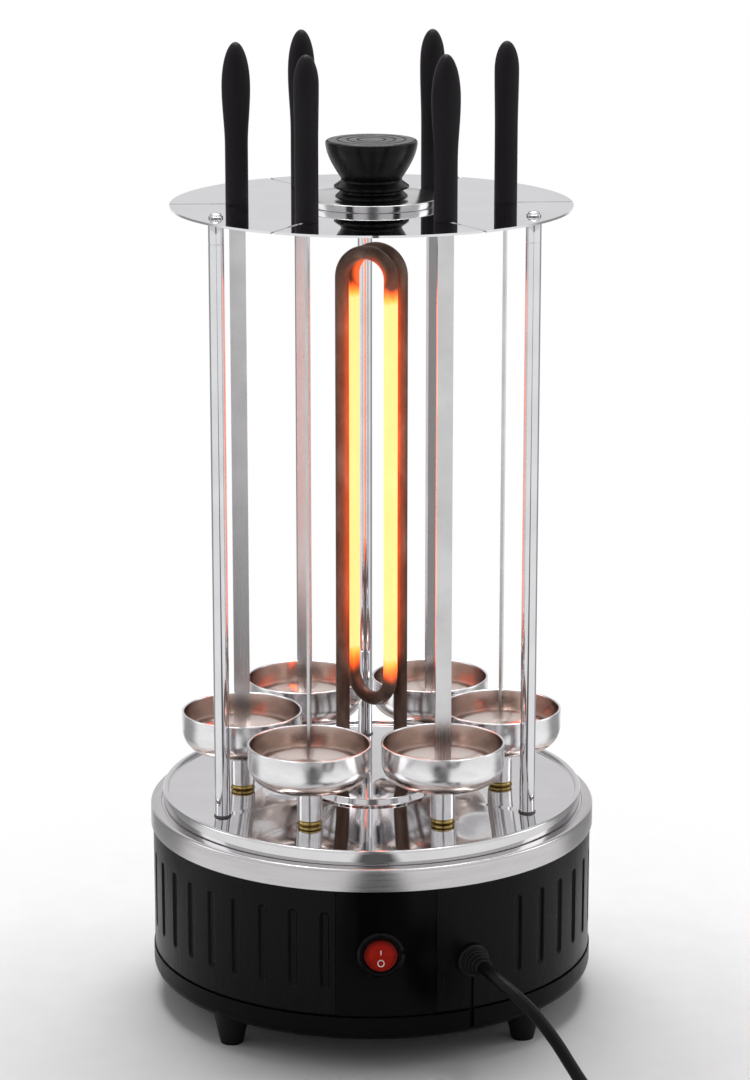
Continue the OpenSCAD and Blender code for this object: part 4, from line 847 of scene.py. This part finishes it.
# Columns of the shell: close where a flute curves, wide apart where it is plain
flutes = [FLUTE_FIRST - i * FLUTE_PITCH for i in range(FLUTE_COUNT)]
angles = set()
for a in flutes:
    angles.update(a + side * off for side in (-1, 1)
                  for off in (0.0, 0.3, 0.55, 0.7, 0.8, 0.9, 1.0, 1.1, 1.2, 1.3, 1.38, 1.6, 2.9))
angles.update(PANEL_FROM + off for off in (-0.01, 0.0))
angles.update(PANEL_TO + off for off in (0.0, 0.01))
angles.update(PANEL_FROM + (PANEL_TO - PANEL_FROM) * i / 17 for i in range(1, 17))
angles.update(PANEL_TO + (PLAIN_TO - PANEL_TO) * i / 14 for i in range(1, 15))
heights = [Z_SEAM + HOUSING_EDGE, 36.0, 42.8]
for step in (0.0, 0.3, 0.6, 0.9, 1.2, 1.6, 2.1, 2.8, 4.0):
    heights += [FLUTE_LOW + step, FLUTE_TOP - step]
heights += [*range(54, 79, 6), 87.0, 94.0, Z_PANEL_TOP, Z_PANEL_TOP + 0.01, Z_LEDGE - HOUSING_EDGE]
columns = []
for a in sorted(angles):
    near = min(flutes, key=lambda f: abs(f - a))
    across = abs(near - a) * math.pi / 180 * HOUSING_R
    sunk = PANEL_T if PANEL_FROM <= a <= PANEL_TO else 0.0
    column = [(HOUSING_R - HOUSING_EDGE - sunk, Z_SEAM)]
    for z in sorted(heights):
        column.append((HOUSING_R - (sunk if z <= Z_PANEL_TOP else 0.0) - flute_cut(across, z), z))
    column += [(HOUSING_R - HOUSING_EDGE, Z_LEDGE), (LEDGE_IN_R, Z_LEDGE),
               (LEDGE_IN_R, Z_LEDGE - LEDGE_T), (HOUSING_IN_R, Z_LEDGE - LEDGE_T),
               (HOUSING_IN_R, Z_SEAM)]
    columns.append([polar(r, a, z) for r, z in column])
shell = from_rings("fluted_housing", columns, angle=40, wrap=True)
switch_hole = placed(lathe("switch_hole", rod(SWITCH_HOLE_R, -CUT_REACH, CUT_REACH)),
                     outward(HOUSING_R, 0, SWITCH.z))
relief_hole = placed(lathe("relief_hole", rod(RELIEF_HOLE_R, -CUT_REACH, CUT_REACH), steps=64),
                     relief_place)
# A slot runs from the relief's hole down to the seam
notch_rings = [[(x, y, z) for x, y in ((-1, -60), (1, -60), (1, 0), (-1, 0))] for z in (-1.2, 3.0)]
notch = placed(from_rings("notch", notch_rings), relief_place)
carved(shell, [switch_hole, relief_hole, notch], 40)
boss_outline = rounded([(BOSS_BORE, Z_BOSS), (BOSS_R, Z_BOSS), (BOSS_R, Z_BOSS_TOP, 0.6),
                        (BOSS_BORE, Z_BOSS_TOP, 0.3)])
bosses = [lathe(f"boss_{a}", boss_outline, polar(BOSS_CIRCLE_R, a)[:2], 32) for a in BOSS_ANGLES]
shell = joined("fluted_housing", [shell] + bosses, 40)
stands_for(shell, "base", "housing", m_housing, "base_housing")


# ---------------------------------------------------------------- rocker and its marks

ROCKER_R, ROCKER_FACE, ROCKER_TILT = 8.95, 2.4, 8.0
MARK_OUT_R, MARK_IN_R, MARK_SINK, MARK_LIFT, Z_MARK_OFF, Z_MARK_ON = 1.85, 1.35, -0.1, 0.06, -4.05, 1.45


def rocker_front(z):
    """How far the rocker's V-shaped face stands in front of its pivot."""
    return ROCKER_FACE + math.sqrt(z * z + 0.09) * math.tan(math.radians(ROCKER_TILT))


def rocker_point(x, z, lift=0.0):
    """A point on the rocker's face, or in front of it by lift."""
    return tilted(x, -rocker_front(z) - lift, z)


def tilted(x, y, z):
    """A point of the rocker with its upper half pressed in."""
    t = math.radians(-ROCKER_TILT)
    return (SWITCH.x + x, SWITCH.y + y * math.cos(t) - z * math.sin(t),
            SWITCH.z + y * math.sin(t) + z * math.cos(t))


rocker_rings = []
rays = [2 * math.pi * i / 72 for i in range(72)]
# Where the V-shaped face meets the rocker's ball, found in a few steps
rocker_edge = []
for a in rays:
    r = ROCKER_R
    for _ in range(6):
        r = math.sqrt(ROCKER_R ** 2 - rocker_front(r * math.sin(a)) ** 2)
    rocker_edge.append(r)
for share in (0.05, 0.2, 0.35, 0.5, 0.65, 0.8, 0.9, 0.95):
    rocker_rings.append([rocker_point(share * r * math.cos(a), share * r * math.sin(a))
                         for r, a in zip(rocker_edge, rays)])
for share, back in ((0.98, 0.06), (0.993, 0.2), (0.998, 0.45)):
    rocker_rings.append([tilted(share * r * math.cos(a), back - rocker_front(r * math.sin(a)),
                                share * r * math.sin(a)) for r, a in zip(rocker_edge, rays)])
for y in (-1.2, 0.0, 1.5, 3.0, 4.4, 5.3):
    r = math.sqrt(ROCKER_R ** 2 - y * y) - 0.02
    rocker_rings.append([tilted(r * math.cos(a), y, r * math.sin(a)) for a in rays])
cap = from_rings("rocker_cap", rocker_rings, angle=50)
rocker_pins = []
for side in (-1, 1):
    rings = [[tilted(side * x, math.cos(t), math.sin(t)) for t in rays[::4]] for x in (7.5, 9.7)]
    rocker_pins.append(from_rings("rocker_pin", rings, angle=40))
cap = joined("rocker_cap", [cap] + rocker_pins, 50)
stands_for(cap, "switch_rocker", "rocker", m_rocker, "rocker")


def raised_mark(name, outer, inner, z):
    """A thin inlay on the rocker's face between two outlines about a height."""
    loops = []
    for points, lift in ((outer, MARK_SINK), (outer, MARK_LIFT), (inner, MARK_LIFT), (inner, MARK_SINK)):
        loops.append([rocker_point(px, z + pz, lift) for px, pz in points])
    mark = from_rings(name, loops, angle=30, wrap=True)
    paint(mark, m_mark)
    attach(mark, "switch_rocker")


unit_ring = [(math.cos(2 * math.pi * i / 40), math.sin(2 * math.pi * i / 40)) for i in range(40)]
off_outer, off_inner = [[(r * x, r * z) for x, z in unit_ring] for r in (MARK_OUT_R, MARK_IN_R)]
raised_mark("mark_off", off_outer, off_inner, Z_MARK_OFF)
bar = [(-0.3, -1.2), (0.3, -1.2), (0.3, 1.2), (-0.3, 1.2)]
raised_mark("mark_on", bar, [(x * 0.1, z * 0.8) for x, z in bar], Z_MARK_ON)


# ---------------------------------------------------------------- knob, its disc and post screws

WAIST_R, CUP_R, CUP_FROM, CUP_H, LIP_R = 15.7, 24.0, 9.3, 18.4, 1.6
BORE_R, BORE_TOP, GROOVE_R, DISC_R, DISC_T = 2.6, 16.0, 0.7, 35.5, 3.7


def cup_side(t):
    """The cup's radius at a share of its height."""
    return WAIST_R + (CUP_R - WAIST_R) * (0.8 * math.sin(math.pi / 2 * t) + 0.2 * t)


knob_outline = [(0, BORE_TOP), (BORE_R, BORE_TOP), (BORE_R, 0.0)]
knob_outline += rounded([(10, 0.0), (18.9, 0.0, 0.15), (18.9, 0.4, 0.15), (WAIST_R, 3.4, 1.0),
                         (19.6, 4.7, 0.25), (19.6, 5.7, 0.25), (WAIST_R, 8.5, 1.0), (16.2, 9.9)])[1:-1]
knob_outline += [(cup_side(i / 12), CUP_FROM + CUP_H * i / 12) for i in range(13)]
knob_outline += arc(CUP_R - LIP_R, KNOB_H - LIP_R, LIP_R, range(15, 91, 15))
for groove in KNOB_GROOVES:
    knob_outline += arc(groove, KNOB_H, GROOVE_R, range(0, -181, -20))
knob_outline += [(0, KNOB_H)]
knob = lathe("turned_knob", [(r, Z_KNOB + z) for r, z in knob_outline], steps=128, angle=38)
stands_for(knob, "base", "knob", m_knob, "knob")

disc_outline = rounded([(BORE_R, 0), (DISC_R, 0, 0.5), (DISC_R, DISC_T, 0.5), (BORE_R, DISC_T)])
disc = lathe("knob_plate", [(r, Z_PLATE_TOP + z) for r, z in disc_outline], steps=128)
stands_for(disc, "base", "disc", m_disc, "knob_disc")

screw_outline = rounded([(0, -12), (1.5, -12), (1.5, 0), (3.8, 0, 0.25), (3.8, 0.9, 0.35),
                         (3.1, 1.15, 0.15), (2.9, 1.9, 0.4), (1.9, 2.5, 0.6), (0, 2.6)])
raised_outline = [(r, Z_PLATE_TOP + z) for r, z in screw_outline]
heads = [lathe(f"head_{a}", raised_outline, polar(POST_CIRCLE_R, a)[:2], 48) for a in POST_ANGLES]
stands_for(joined("domed_screws", heads), "base", "screws", m_screw, "post_screws")


# ---------------------------------------------------------------- tray, ring, posts and bowls

TRAY_R, TRAY_BEAD_R, TRAY_T, TRAY_EDGE_R, SEAT_R, SEAT_TOP = 110.4, 1.4, 0.8, 118.2, 33.6, 119.1
SPINDLE_HOLE_R, STUD_HOLE_R, HOLE_FROM, HOLE_TO = 6.6, 2.6, 113, 121
tray_outline = rounded([(0, SEAT_TOP), (SEAT_R - 0.4, SEAT_TOP, 0.5), (SEAT_R + 0.4, Z_TRAY, 0.6),
                        (TRAY_R, Z_TRAY, 0.5), (TRAY_R, Z_TRAY + 1.0)])[:-1]
tray_outline += arc(TRAY_R + TRAY_BEAD_R, Z_TRAY + 1.0, TRAY_BEAD_R, range(180, -1, -12))
tray_outline += [(TRAY_R + 2 * TRAY_BEAD_R, Z_LEDGE + TRAY_T), (TRAY_EDGE_R, Z_LEDGE + TRAY_T),
                 (TRAY_EDGE_R, Z_LEDGE), (TRAY_R, Z_LEDGE), (TRAY_R, Z_TRAY - TRAY_T),
                 (SEAT_R, Z_TRAY - TRAY_T), (SEAT_R - 0.8, SEAT_TOP - TRAY_T), (0, SEAT_TOP - TRAY_T)]
tray = lathe("tray_pan", tray_outline, steps=144)
holes = [(place[n], SPINDLE_HOLE_R) for n in PLACES]
holes += [(polar(POST_CIRCLE_R, a)[:2], STUD_HOLE_R) for a in POST_ANGLES]
holes += [((x, 0), TUBE_R + 0.4) for x in (-LEG_X, LEG_X)]
carved(tray, [lathe(f"tray_hole_{i}", rod(r, HOLE_FROM, HOLE_TO), c, 48)
              for i, (c, r) in enumerate(holes)], 32)
stands_for(tray, "base", "tray", m_tray, "drip_tray")

RING_R, RING_T, RING_EDGE, RING_IN_R, Z_RING, Z_RING_TOP = 120.0, 1.0, 1.8, 114.0, 98.4, 110.4
ring_x, ring_z = RING_R - RING_EDGE, Z_RING_TOP - RING_EDGE
ring_outline = [(RING_R - RING_T, Z_RING), (RING_R, Z_RING)]
ring_outline += arc(ring_x, ring_z, RING_EDGE, range(0, 91, 9))
ring_outline += [(RING_IN_R + 0.3, Z_RING_TOP), (RING_IN_R, Z_RING_TOP - 0.3),
                 (RING_IN_R, Z_RING_TOP - RING_T)]
ring_outline += arc(ring_x, ring_z, RING_EDGE - RING_T, range(90, -1, -15))
trim = lathe("ring_band", ring_outline, steps=192)
stands_for(trim, "base", "ring", m_ring, "trim_ring")

POST_R, STUD_R, Z_STUD, GROOVE_DEPTH, THREAD_R, THREAD_LEN, SEAL_R = 4.1, 2.5, 105.6, 0.12, 1.6, 16, 4.6
post_outline = rounded([(0, Z_STUD), (STUD_R, Z_STUD, 0.3), (STUD_R, Z_POST), (POST_R, Z_POST, 0.3),
                        (POST_R, Z_PLATE - 12.2), (POST_R - GROOVE_DEPTH, Z_PLATE - 12.05),
                        (POST_R - GROOVE_DEPTH, Z_PLATE - 11.75), (POST_R, Z_PLATE - 11.6),
                        (POST_R, Z_PLATE, 0.2), (THREAD_R, Z_PLATE), (THREAD_R, Z_PLATE - THREAD_LEN),
                        (0, Z_PLATE - THREAD_LEN)])
for side, a in (("right", 60), ("left", -60), ("back", 180)):
    post = lathe(f"rod_{side}", post_outline, polar(POST_CIRCLE_R, a)[:2], 48)
    stands_for(post, "base", "posts", m_post, f"post_{side}")
seal_outline = rounded([(STUD_HOLE_R, Z_TRAY), (SEAL_R, Z_TRAY, 0.15), (SEAL_R, Z_POST, 0.2),
                        (STUD_HOLE_R, Z_POST)])
seals = [lathe(f"seal_{a}", seal_outline, polar(POST_CIRCLE_R, a)[:2], 48) for a in POST_ANGLES]
stands_for(joined("seal_rings", seals), "base", "seals", m_seal, "post_seals")

BOWL_R, BOWL_CORNER, BOWL_T, STEM_R, STEM_BORE, RIM_IN, RIM_R = 32.4, 11.5, 1.0, 6.65, 5.61, 0.5, 0.65
corner_x, corner_z = BOWL_R - BOWL_CORNER, Z_BOWL + BOWL_CORNER
bowl_outline = rounded([(STEM_BORE, Z_STEM), (STEM_R, Z_STEM, 0.2), (STEM_R, Z_BOWL, 0.8),
                        (corner_x - 1.0, Z_BOWL)])
bowl_outline += arc(corner_x, corner_z, BOWL_CORNER, range(-90, 1, 6))
bowl_outline += arc(BOWL_R - RIM_IN, Z_BOWL_RIM - RIM_R, RIM_R, range(-36, 217, 18))
bowl_outline += arc(corner_x, corner_z, BOWL_CORNER - BOWL_T, range(0, -91, -6))
bowl_outline += rounded([(corner_x, Z_BOWL + BOWL_T), (STEM_BORE, Z_BOWL + BOWL_T, 0.3),
                         (STEM_BORE, Z_STEM)])[1:-1]
for n in PLACES:
    bowl = lathe(f"drip_bowl_{n}", bowl_outline, place[n], 128)
    # The bowls' insides get a darker, warmer tone: painted shade and a painted reflection of the
    # heater's glow.
    steel = brushed_round(f"satin_bowl_{n}", place[n], (242, 241, 242), (0.15, 0.23), 0.005, 1500.0,
                          inside=(BOWL_R - RIM_IN, Z_BOWL + 0.6, Z_BOWL_RIM - 0.6, (214, 200, 193)))
    stands_for(bowl, f"bowl_body_{n}", "bowls", steel, f"bowl_{n}")


# ---------------------------------------------------------------- studio

FLOOR_HALF, SEEN_FROM, SEEN_TO = 6.0, 0.2, 0.38
WHITE, WORLD_LIGHT = (1.0, 1.0, 1.0, 1.0), 0.27
floor_mesh = bpy.data.meshes.new("floor")
floor_mesh.from_pydata([(-FLOOR_HALF, -FLOOR_HALF, 0), (FLOOR_HALF, -FLOOR_HALF, 0),
                        (FLOOR_HALF, FLOOR_HALF, 0), (-FLOOR_HALF, FLOOR_HALF, 0)], [], [(0, 1, 2, 3)])
floor = link(bpy.data.objects.new("floor", floor_mesh))
# Lit paper near the grill, and further out a tone of its own, with dark strips for the steel to mirror
paper = Shader("floor_paper", lin(246, 246, 247), 0.0, 0.7, Specular_IOR_Level=0.1)
fibres = paper.noise(paper.coord(), 40.0, 3.0)
paper.set("Base Color", paper.mix(paper.span(fibres, 0.3, 0.7), lin(245, 245, 246), lin(248, 248, 249)))
fx, fy = paper.split(paper.coord())[:2]
far = paper.span(paper.length(fx, fy), SEEN_FROM, SEEN_TO, smooth=True)
front = paper.span(fy, -0.1, -0.3, smooth=True)
strip = paper.math("SUBTRACT", 1.0, paper.band(fx, 0.0, 0.085, 0.03, 1.0))
front_dark = paper.math("MULTIPLY", front, strip)
way = paper.math("ABSOLUTE", paper.math("ARCTAN2", fx, paper.math("MULTIPLY", fy, -1.0)))
sides = paper.band(way, math.radians(122), math.radians(22), math.radians(10), 0.66)
tone = paper.math("MULTIPLY", paper.span(front_dark, 0.0, 1.0, 0.96, 0.12), sides)
card = paper.node("ShaderNodeEmission")
direct = paper.seen_by("Camera", "Transmission")
paper.put(card.inputs[0], paper.mix(direct, paper.join(tone, tone, tone), WHITE))
card.inputs[1].default_value = 1.0
chosen = paper.math("MULTIPLY", far, paper.seen_by("Camera", "Glossy", "Transmission"))
paper.put(paper.out.inputs[0], paper.mix_shader(chosen, paper.bsdf.outputs[0], card.outputs[0]))
paint(floor, paper.mat)

world = bpy.data.worlds.new("studio")
bpy.context.scene.world = world
world.use_nodes = True
w = Graph(world.node_tree)
wx, wy, wz = w.split(w.coord("Generated"))[:3]
sky = w.ramp(w.span(wz, 0.0, 1.0), [(0.0, (0.72, 0.72, 0.73, 1)), (0.22, (0.76, 0.75, 0.76, 1)),
                                    (0.36, (0.78, 0.77, 0.78, 1)), (0.6, (0.9, 0.9, 0.91, 1)),
                                    (1.0, WHITE)])
way = w.math("ABSOLUTE", w.math("ARCTAN2", wx, w.math("MULTIPLY", wy, -1.0)))
dark = w.math("MULTIPLY", w.band(way, 0.0, math.radians(9), math.radians(4), 0.8),
              w.band(way, math.radians(124), math.radians(15), math.radians(8), 0.6))
shiny = w.node("ShaderNodeVectorMath", operation="SCALE")
w.put(shiny.inputs[0], sky)
w.put(shiny.inputs["Scale"], dark)
seen = w.mix(w.seen_by("Camera", "Transmission"), shiny.outputs[0], WHITE)
lit = w.node("ShaderNodeBackground")
lit.inputs[0].default_value = WHITE
lit.inputs[1].default_value = WORLD_LIGHT
shown = w.node("ShaderNodeBackground")
w.put(shown.inputs[0], seen)
shown.inputs[1].default_value = 1.0
w_out = w.node("ShaderNodeOutputWorld")
mirrored = w.seen_by("Camera", "Glossy", "Transmission")
w.put(w_out.inputs[0], w.mix_shader(mirrored, lit.outputs[0], shown.outputs[0]))


def softbox(name, location, aim, width, height, power):
    """A lamp of a size in metres and a power in watts, turned to its aim."""
    data = bpy.data.lights.new(name, "AREA")
    data.shape = "RECTANGLE"
    data.size = width
    data.size_y = height
    data.energy = power
    lamp = link(bpy.data.objects.new(name, data))
    lamp.location = location
    lamp.rotation_euler = (Vector(aim) - Vector(location)).to_track_quat("-Z", "Y").to_euler()


softbox("top", (0.0, 0.5, 1.9), (0, 0, 0.1), 1.3, 1.0, 30.0)
softbox("left", (-1.9, 0.2, 1.1), (0, 0, 0.2), 0.7, 1.3, 3.0)
softbox("right", (1.9, 0.2, 1.1), (0, 0, 0.2), 0.7, 1.3, 4.0)

bpy.context.scene.view_settings.view_transform = "Standard"
